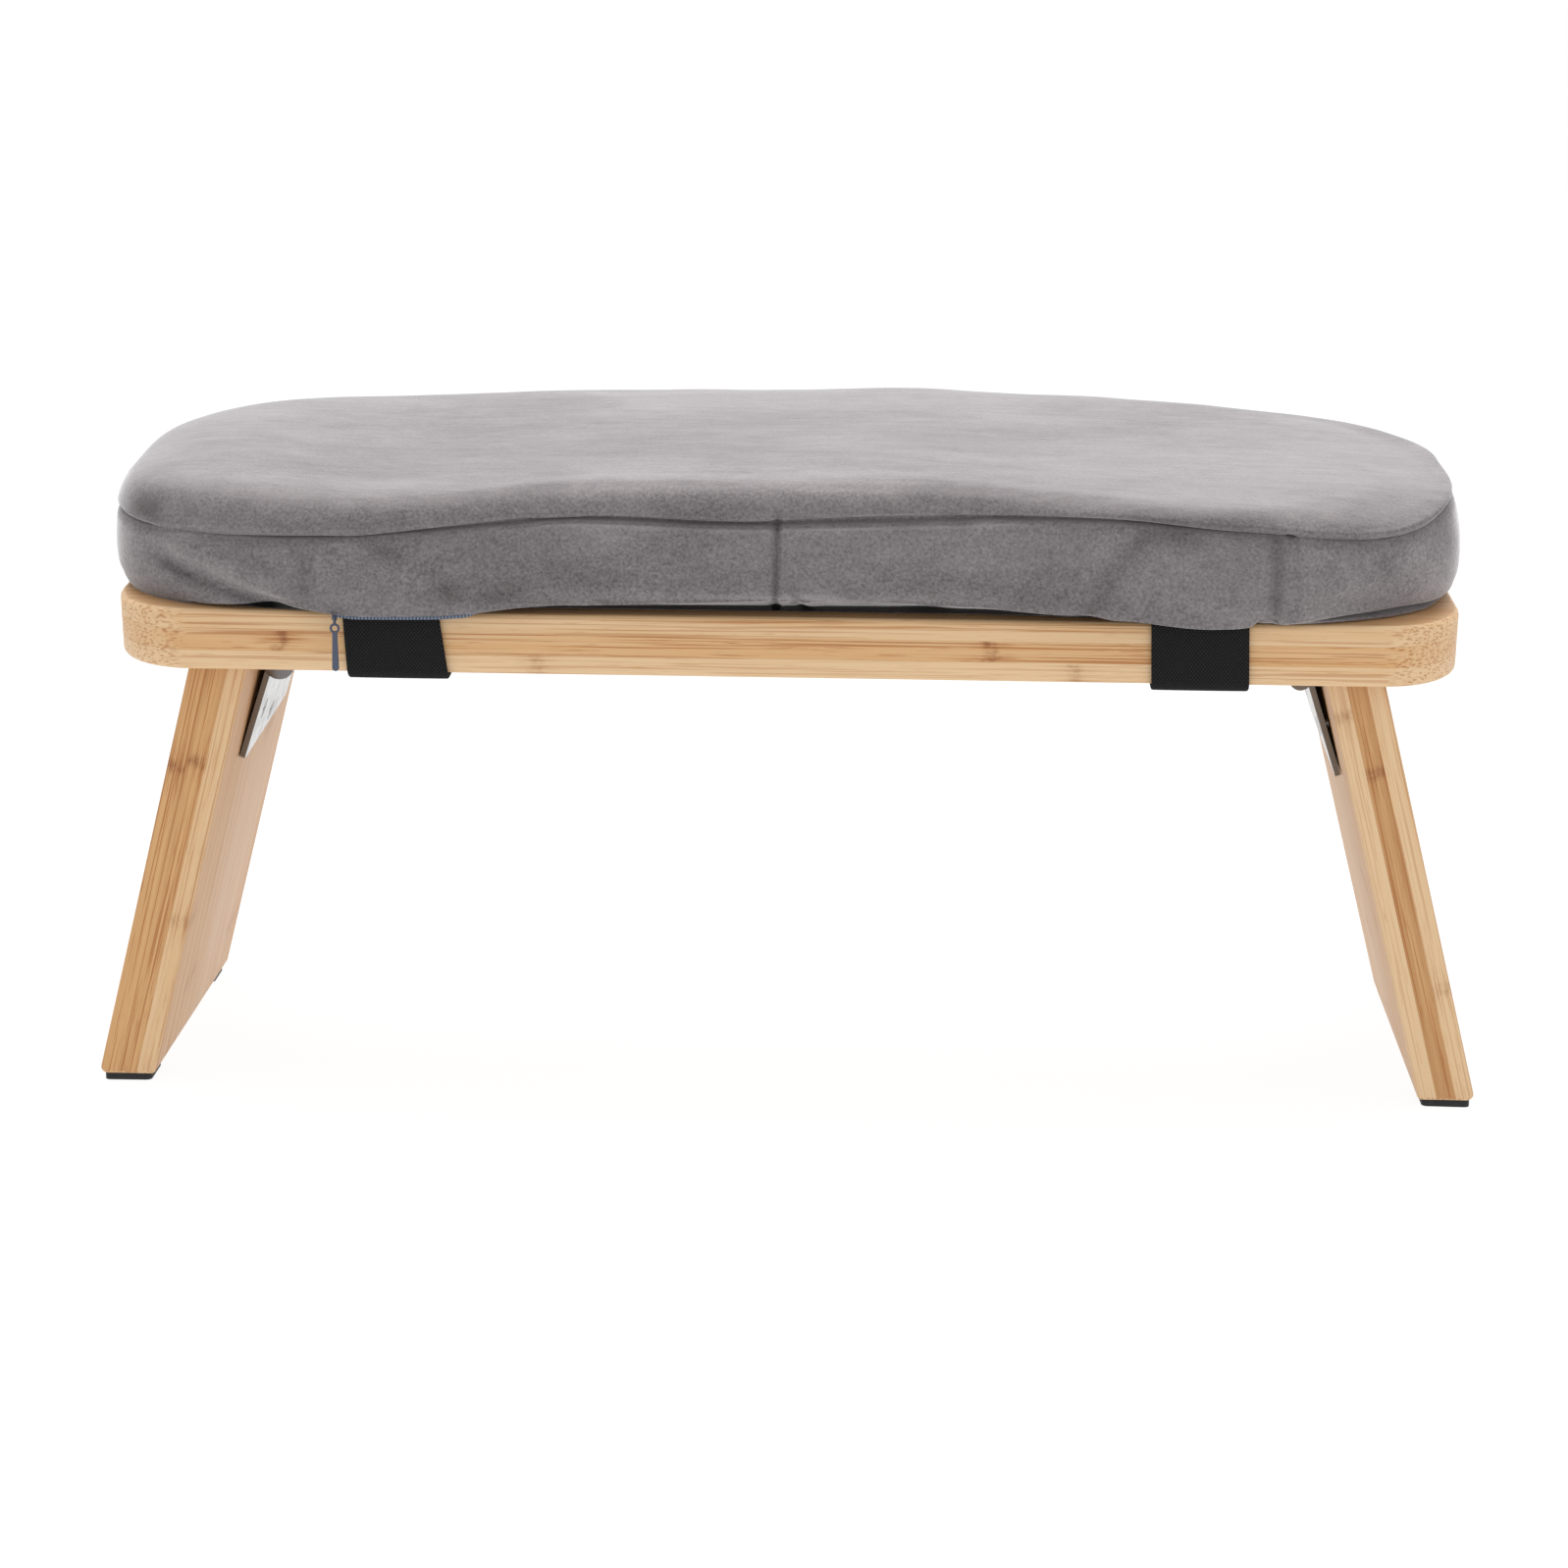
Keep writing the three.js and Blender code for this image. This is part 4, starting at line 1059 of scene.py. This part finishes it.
# %% Straps
strap_width, strap_thickness = 32.0, 1.8
strap_places = {"left_strap": -129.0, "right_strap": 137.0}
strap_leans = {"left_strap": (0.9, 2.6), "right_strap": (0.8, 0.9)}
strap_half_depth, strap_fit, strap_bend, strap_dome = 83.0, 0.45, 2.2, 0.06
rings_up, rings_round, rings_under = 14, 8, 30
board_height = board_thickness / mm
rib_pitch, row_pitch = 1.15 * mm, 0.75 * mm


def strap_path():
    """Middle line of the band, with the way it faces: up the back last."""
    middle = strap_half_depth + strap_fit + strap_thickness / 2
    radius = strap_bend + strap_fit + strap_thickness / 2
    low = -strap_fit - strap_thickness / 2
    path = [(-middle, z, -1, 0) for z in np.linspace(board_height - 0.1, low + radius, rings_up)]
    bend = arc(1, 0, 90, rings_round)[1:]
    path += [(radius - middle - radius * c, low + radius - radius * s, -c, -s) for c, s in bend]
    path += [(y, low, 0, -1) for y in np.linspace(radius - middle, middle - radius, rings_under)[1:]]
    back = [(-y, z, -ny, nz) for y, z, ny, nz in path[:rings_up + rings_round][::-1]]
    return path + back[1:]


def strap_section(sides=5):
    """Half-round edges and flat faces: places across the band and out of it."""
    radius = strap_thickness / 2
    flat = strap_width / 2 - radius
    across = np.linspace(-flat, flat, 17)
    bend = arc(radius, 0, 180, sides)[1:-1]
    section = [(x, radius * (1 - strap_dome * (x / flat) ** 2)) for x in across]
    section += [(flat + s, c) for c, s in bend]
    section += [(x, -radius) for x in across[::-1]]
    return section + [(-flat - s, -c) for c, s in bend]


def strap_mesh(name):
    lean_left, lean_right = strap_leans[name]
    rings = []
    for y, z, out_y, out_z in strap_path():
        fall = min(max((board_height - z) / board_height, 0), 1) * (y < 0)
        ring = []
        for across, out in strap_section():
            share = across / strap_width + 0.5
            x = strap_places[name] + across + fall * (lean_left * (1 - share) + lean_right * share)
            ring.append((x, y + out_y * out, z + out_z * out))
        rings.append(ring)
    return lofted(f"{name}_band", rings, seat_in_mm, 50)


def elastic():
    material, tree = open_tree("black_elastic")
    place = local_position(tree, seat)
    axes = add(tree, "ShaderNodeSeparateXYZ", {0: place})
    along = axes["Z"] - axes["Y"]
    ribs = ((axes["X"] + along * 0.8) * (2 * math.pi / rib_pitch)).math("SINE")
    rows = (along * (2 * math.pi / row_pitch)).math("SINE")
    weave = ribs * (rows + 1.6)
    fuzz = noise(place, 900, 3.0, 0.7)
    glint = (weave + fuzz * 1.6).step(1.9, 3.0)
    close_tree(tree, {
        "Base Color": mixed(glint, from_srgb(19, 19, 20), from_srgb(62, 62, 64)),
        "Roughness": 0.85,
        "Specular IOR Level": 0.2,
        "Normal": bump(weave + fuzz, 0.12 * mm, 0.8),
    })
    return material


black_elastic = elastic()
for strap in strap_places:
    piece_from(f"{strap}_band", strap_mesh(strap), [black_elastic], "seat", "elastic", strap)
print("straps made")

# %% [markdown]
# The zip lies under the lower front edge of the cover, and shows only beside its pull. Its tape is a
# strip along the cushion's outline. Geometry Nodes set its teeth: the outline's path becomes a curve,
# the curve is divided at the teeth's spacing, and one tooth is instanced on every point, turned along
# the curve.

# %% Zip
zip_start, zip_end = -147.2, 102.6
zip_tape_height, zip_tape_thickness = 1.5, 0.5
tooth_ahead = 0.45
tooth_sizes = {"Spacing": 1.15, "Tooth length": 0.8, "Tooth depth": 0.8, "Tooth height": 1.3}
faces_of_a_tooth = 80


def zip_path(inset):
    """The hem's edge from the slider to the zip's end; past the open part it slips under the cover."""
    ring = cushion_outline(1600)
    x, y = ring.T
    inner = inset_ring(lower_outline(ring), inset + zip_tuck(x))
    front = inner[(y < 0) & (x > zip_start) & (x < zip_end)]
    front = front[np.argsort(front[:, 0])]
    return [(x, y, cushion_base_z / mm + zip_heights(x)) for x, y in front]


def tape_mesh():
    half = zip_tape_height / 2
    rings = []
    for front, back in zip(zip_path(zip_inset), zip_path(zip_inset + zip_tape_thickness)):
        sides = ((front, -half), (front, half), (back, half), (back, -half))
        rings.append([(x, y, z + rise) for (x, y, z), rise in sides])
    return lofted("zip_tape_cloth", rings, seat_in_mm)


def row_on_path_tree(material):
    """Geometry Nodes: small rounded teeth along a path, with their spacing and sizes as inputs."""
    tree = bpy.data.node_groups.new("teeth_on_path", "GeometryNodeTree")
    sockets = [("Geometry", "INPUT", "Geometry"), *((name, "INPUT", "Float") for name in tooth_sizes)]
    for name, way, kind in (*sockets, ("Geometry", "OUTPUT", "Geometry")):
        tree.interface.new_socket(name, in_out=way, socket_type=f"NodeSocket{kind}")
    given = add(tree, "NodeGroupInput")
    curve = add(tree, "GeometryNodeMeshToCurve", {"Mesh": given["Geometry"]})[0]
    spacing = {"Curve": curve, "Length": given["Spacing"]}
    spaced = add(tree, "GeometryNodeResampleCurve", spacing, mode="LENGTH")[0]
    tangent = add(tree, "GeometryNodeInputTangent")[0]
    turn = add(tree, "FunctionNodeAlignRotationToVector", {"Vector": tangent}, axis="X")[0]
    tooth = add(tree, "GeometryNodeMeshIcoSphere", {"Radius": 0.5, "Subdivisions": 2})["Mesh"]
    size = add(tree, "ShaderNodeCombineXYZ", {
        "X": given["Tooth length"], "Y": given["Tooth depth"], "Z": given["Tooth height"],
    })[0]
    row = add(tree, "GeometryNodeInstanceOnPoints", {
        "Points": spaced, "Instance": tooth, "Rotation": turn, "Scale": size,
    })[0]
    real = add(tree, "GeometryNodeRealizeInstances", {"Geometry": row})[0]
    dressed = add(tree, "GeometryNodeSetMaterial", {"Geometry": real, "Material": material})[0]
    add(tree, "NodeGroupOutput", {"Geometry": dressed})
    return tree


def teeth_mesh(material):
    path = zip_path(zip_inset - tooth_ahead)
    edges = [(index, index + 1) for index in range(len(path) - 1)]
    holder = linked("teeth_path", mesh_of("teeth_path", path, (), seat, edges))
    modifier = holder.modifiers.new("teeth", "NODES")
    modifier.node_group = row_on_path_tree(material)
    for item in modifier.node_group.interface.items_tree:
        if item.in_out == "INPUT" and item.name in tooth_sizes:
            modifier[item.identifier] = tooth_sizes[item.name] * mm
    teeth = final_mesh(holder)
    bpy.data.objects.remove(holder)
    return teeth


def zip_mesh(tape, teeth):
    """The tape, flat shaded, and the teeth, smooth, as one mesh with two materials."""
    shape = bmesh.new()
    shape.from_mesh(tape)
    shape.from_mesh(teeth)
    for index, face in enumerate(shape.faces):
        face.smooth = index >= len(tape.polygons)
        face.material_index = int(face.smooth)
    mesh = bpy.data.meshes.new("closed_zip")
    shape.to_mesh(mesh)
    shape.free()
    return mesh


def plain_material(name, colour, roughness, metallic=0.0, grain_scale=900, grain_size=0.05):
    material, tree = open_tree(name)
    grain = noise(add(tree, "ShaderNodeTexCoord")["Object"], grain_scale, 3.0, 0.6)
    close_tree(tree, {
        "Base Color": colour,
        "Metallic": metallic,
        "Roughness": grain.step(0.3, 0.7, roughness - 0.06, roughness + 0.06),
        "Specular IOR Level": 0.4,
        "Normal": bump(grain, grain_size * mm, 0.5),
    })
    return material


zip_cloth = plain_material("zip_cloth", from_srgb(92, 100, 116), 0.8)
zip_tooth = plain_material("zip_tooth", from_srgb(112, 122, 140), 0.45)
teeth = teeth_mesh(zip_tooth)
piece_from("closed_zip", zip_mesh(tape_mesh(), teeth), [zip_cloth, zip_tooth], "seat", "zip_tape", "zip_tape")
print("zip made:", len(teeth.polygons) // faces_of_a_tooth, "teeth")

# %% [markdown]
# The slider is a small wedge that hugs the tape, with two cheeks that carry a bar. The pull hangs from
# that bar: an eye, a ring and a narrow tab. Both are made of rings, plates and a round bar. They are
# placed by the pull's joint, so that the pull swings about the same axis as in the CAD model.

# %% Slider and pull
wedge_depths = (3.4, 5.0)
cheek_x, cheek_half, cheek_depths = 0.62, 0.2, (-0.4, 0.5)
bar_radius, bar_half = 0.5, 0.7
pull_eye_radius, pull_wire_radius = 1.05, 0.33
pull_ring_drop, pull_ring_radius, pull_ring_wire = 3.2, 1.3, 0.42
pull_neck_half, pull_tab_top, pull_tab_half, pull_tip_radius, pull_length = 0.5, 4.4, 0.8, 1.15, 17.5


def add_ring(shape, height, radius, wire, axis):
    """A torus about X or Y, at a height on the pull's middle line."""
    rings = []
    for cos, sin in arc(1, 0, 360, 28)[:-1]:
        section = [((radius + c) * cos, (radius + c) * sin, s) for c, s in arc(wire, 0, 360, 10)[:-1]]
        rings.append([(s, u, v + height) if axis == "X" else (u, s, v + height) for u, v, s in section])
    add_loft(shape, rings, closed=True)


def add_plate(shape, outline_xz, depths, bevel):
    """An outline in X and Z raised along Y, with its rims bevelled."""
    _, caps = add_loft(shape, [[(x, y, z) for x, z in outline_xz] for y in depths[::-1]])
    add_bevel(shape, [edge for cap in caps for edge in cap.edges], bevel)


def box_xz(x_low, x_high, z_low, z_high):
    return [(x_low, z_low), (x_high, z_low), (x_high, z_high), (x_low, z_high)]


def pull_mesh():
    shape = bmesh.new()
    add_ring(shape, 0, pull_eye_radius, pull_wire_radius, "X")
    add_ring(shape, -pull_ring_drop, pull_ring_radius, pull_ring_wire, "Y")
    neck = box_xz(-pull_neck_half, pull_neck_half, pull_ring_radius - pull_ring_drop, -pull_eye_radius)
    add_plate(shape, neck, (-0.3, 0.3), 0.12)
    tip = [(s, pull_tip_radius - pull_length - c) for c, s in arc(pull_tip_radius, -80, 80, 10)]
    tab = [(-pull_tab_half, -pull_tab_top), *tip, (pull_tab_half, -pull_tab_top)]
    add_plate(shape, tab[::-1], (-0.42, 0.42), 0.18)
    return mesh_from_bmesh("hanging_pull", shape, Matrix.Translation(bar_place) @ in_mm, 50)


def slider_mesh():
    """Built about the pull's bar, in the seat's axes: wedge body above, cheeks and bar in front."""
    shape = bmesh.new()
    wedge = [(-2.8, 3.3), (-2.8, 4.2), (-2, 4.6), (1.2, 4.6), (2.8, 4.2), (2.8, 3.3), (1.6, 2.9), (-1.6, 2.9)]
    add_plate(shape, wedge, wedge_depths, 0.3)
    for x in (-cheek_x, cheek_x):
        add_plate(shape, box_xz(x - cheek_half, x + cheek_half, -0.4, 2.1), cheek_depths, 0.1)
    add_loft(shape, [[(x, y, z) for y, z in arc(bar_radius, 0, 330, 11)] for x in (-bar_half, bar_half)])
    return mesh_from_bmesh("zip_runner", shape, seat_axes_at(bar_place), 35)


zip_paint = plain_material("zip_paint", from_srgb(78, 84, 102), 0.4, 0.35)
piece_from("hanging_pull", pull_mesh(), [zip_paint], "zip_pull_body", "zip_metal", "zip_pull")
piece_from("zip_runner", slider_mesh(), [zip_paint], "seat", "zip_metal", "zip_slider")
print("slider and pull made")

# %% [markdown]
# The hinge leaves, the screws and the foot pads keep their CAD meshes, since they are already exact.
# Those meshes are loose triangles, so a Weld joins them first, and a small Bevel rounds their arrises.
# The zinc plating is bright on its faces. The leaf's edges that face along the pin, front and back, get a
# painted shade: a darker, browner, less metallic colour for the shade and dark reflection they show, which
# the pattern finds by the way the surface faces. The photograph shows no head in front of the right hinge
# pin, so that pin is made again with a head at its back only.

# %% Hinges, screws and pads
# the second colour is a painted shade for the leaf edges that face along the pin
zinc_bright, zinc_painted_shade = (0.45, 0.445, 0.44, 1), (0.17, 0.135, 0.105, 1)
pin_point, pin_point_share = 0.4, 0.7


def zinc():
    material, tree = open_tree("zinc_plate")
    place = add(tree, "ShaderNodeTexCoord")["Object"]
    # painted shade: the edges facing along the pin are painted darker and browner
    painted_edge_shade = faced(tree, fold_axis).math("ABSOLUTE").step(0.8, 0.92)
    close_tree(tree, {
        "Base Color": mixed(painted_edge_shade, zinc_bright, zinc_painted_shade),
        "Metallic": painted_edge_shade.step(0.0, 1.0, 1.0, 0.55),
        "Roughness": noise(place, 160, 4.0, 0.6).step(0.35, 0.65, 0.2, 0.34),
        "Normal": bump(noise(place, (300, 300, 2400), 3.0, 0.6), 0.04 * mm, 0.5),
    })
    return material


def finish_cad(wanted, material, bevel, segments=2):
    """Gives CAD nodes their finish and rounds their arrises, leaving their own meshes as they are."""
    for node in (node for name, node in nodes.items() if name.endswith(wanted)):
        node.data.materials.clear()
        node.data.materials.append(material)
        weld = node.modifiers.new("weld", "WELD")
        weld.merge_threshold = 0.001 * mm
        rounded = node.modifiers.new("round_arrises", "BEVEL")
        rounded.width, rounded.segments = bevel, segments
        rounded.limit_method, rounded.angle_limit = "ANGLE", math.radians(40)
        rounded.use_clamp_overlap = True


def one_headed_pin(node_name, sides=32):
    """The CAD pin's length, with its dome at the back only: the front end is flush with the knuckle."""
    spots = [(seat.inverted() @ vertex.co) / mm for vertex in nodes[node_name].data.vertices]
    under_head = max(spot.y for spot in spots) - pin_head_thickness
    across = [spot.x for spot in spots]
    head_radius = (max(across) - min(across)) / 2
    profile = [(0.0, -under_head), (pin_radius * pin_point_share, -under_head)]
    profile += [(pin_radius, pin_point - under_head), (pin_radius, under_head)]
    profile += [(head_radius * s, under_head + pin_head_thickness * c) for c, s in arc(1, 90, 0, 6)]
    rings = []
    for radius, y in profile:
        turns = arc(radius, 0, 360, sides)[:-1] if radius else [(0, 0)]
        rings.append([(x, y, z) for x, z in turns])
    return lofted("right_pin", rings, seat_axes_at(pin_place), 50)


zinc_plate = zinc()
screw_steel = plain_material("screw_steel", (0.3, 0.3, 0.31, 1), 0.32, 1.0)
dark_steel = plain_material("pin_steel", (0.2, 0.19, 0.185, 1), 0.4, 0.9)
black_rubber = plain_material("black_rubber", from_srgb(38, 38, 39), 0.75, 0.0, 700, 0.06)
finish_cad("_leaf", zinc_plate, 0.2 * mm)
finish_cad(("_screw_front", "_screw_middle", "_screw_rear"), screw_steel, 0.1 * mm, 1)
finish_cad("left_hinge_pin", dark_steel, 0.15 * mm)
piece_from("right_pin", one_headed_pin("right_hinge_pin"), [dark_steel], "seat", "zinc", "right_hinge_pin")
finish_cad("_pad", black_rubber, 0.4 * mm, 3)
print("hinges, screws and pads finished")
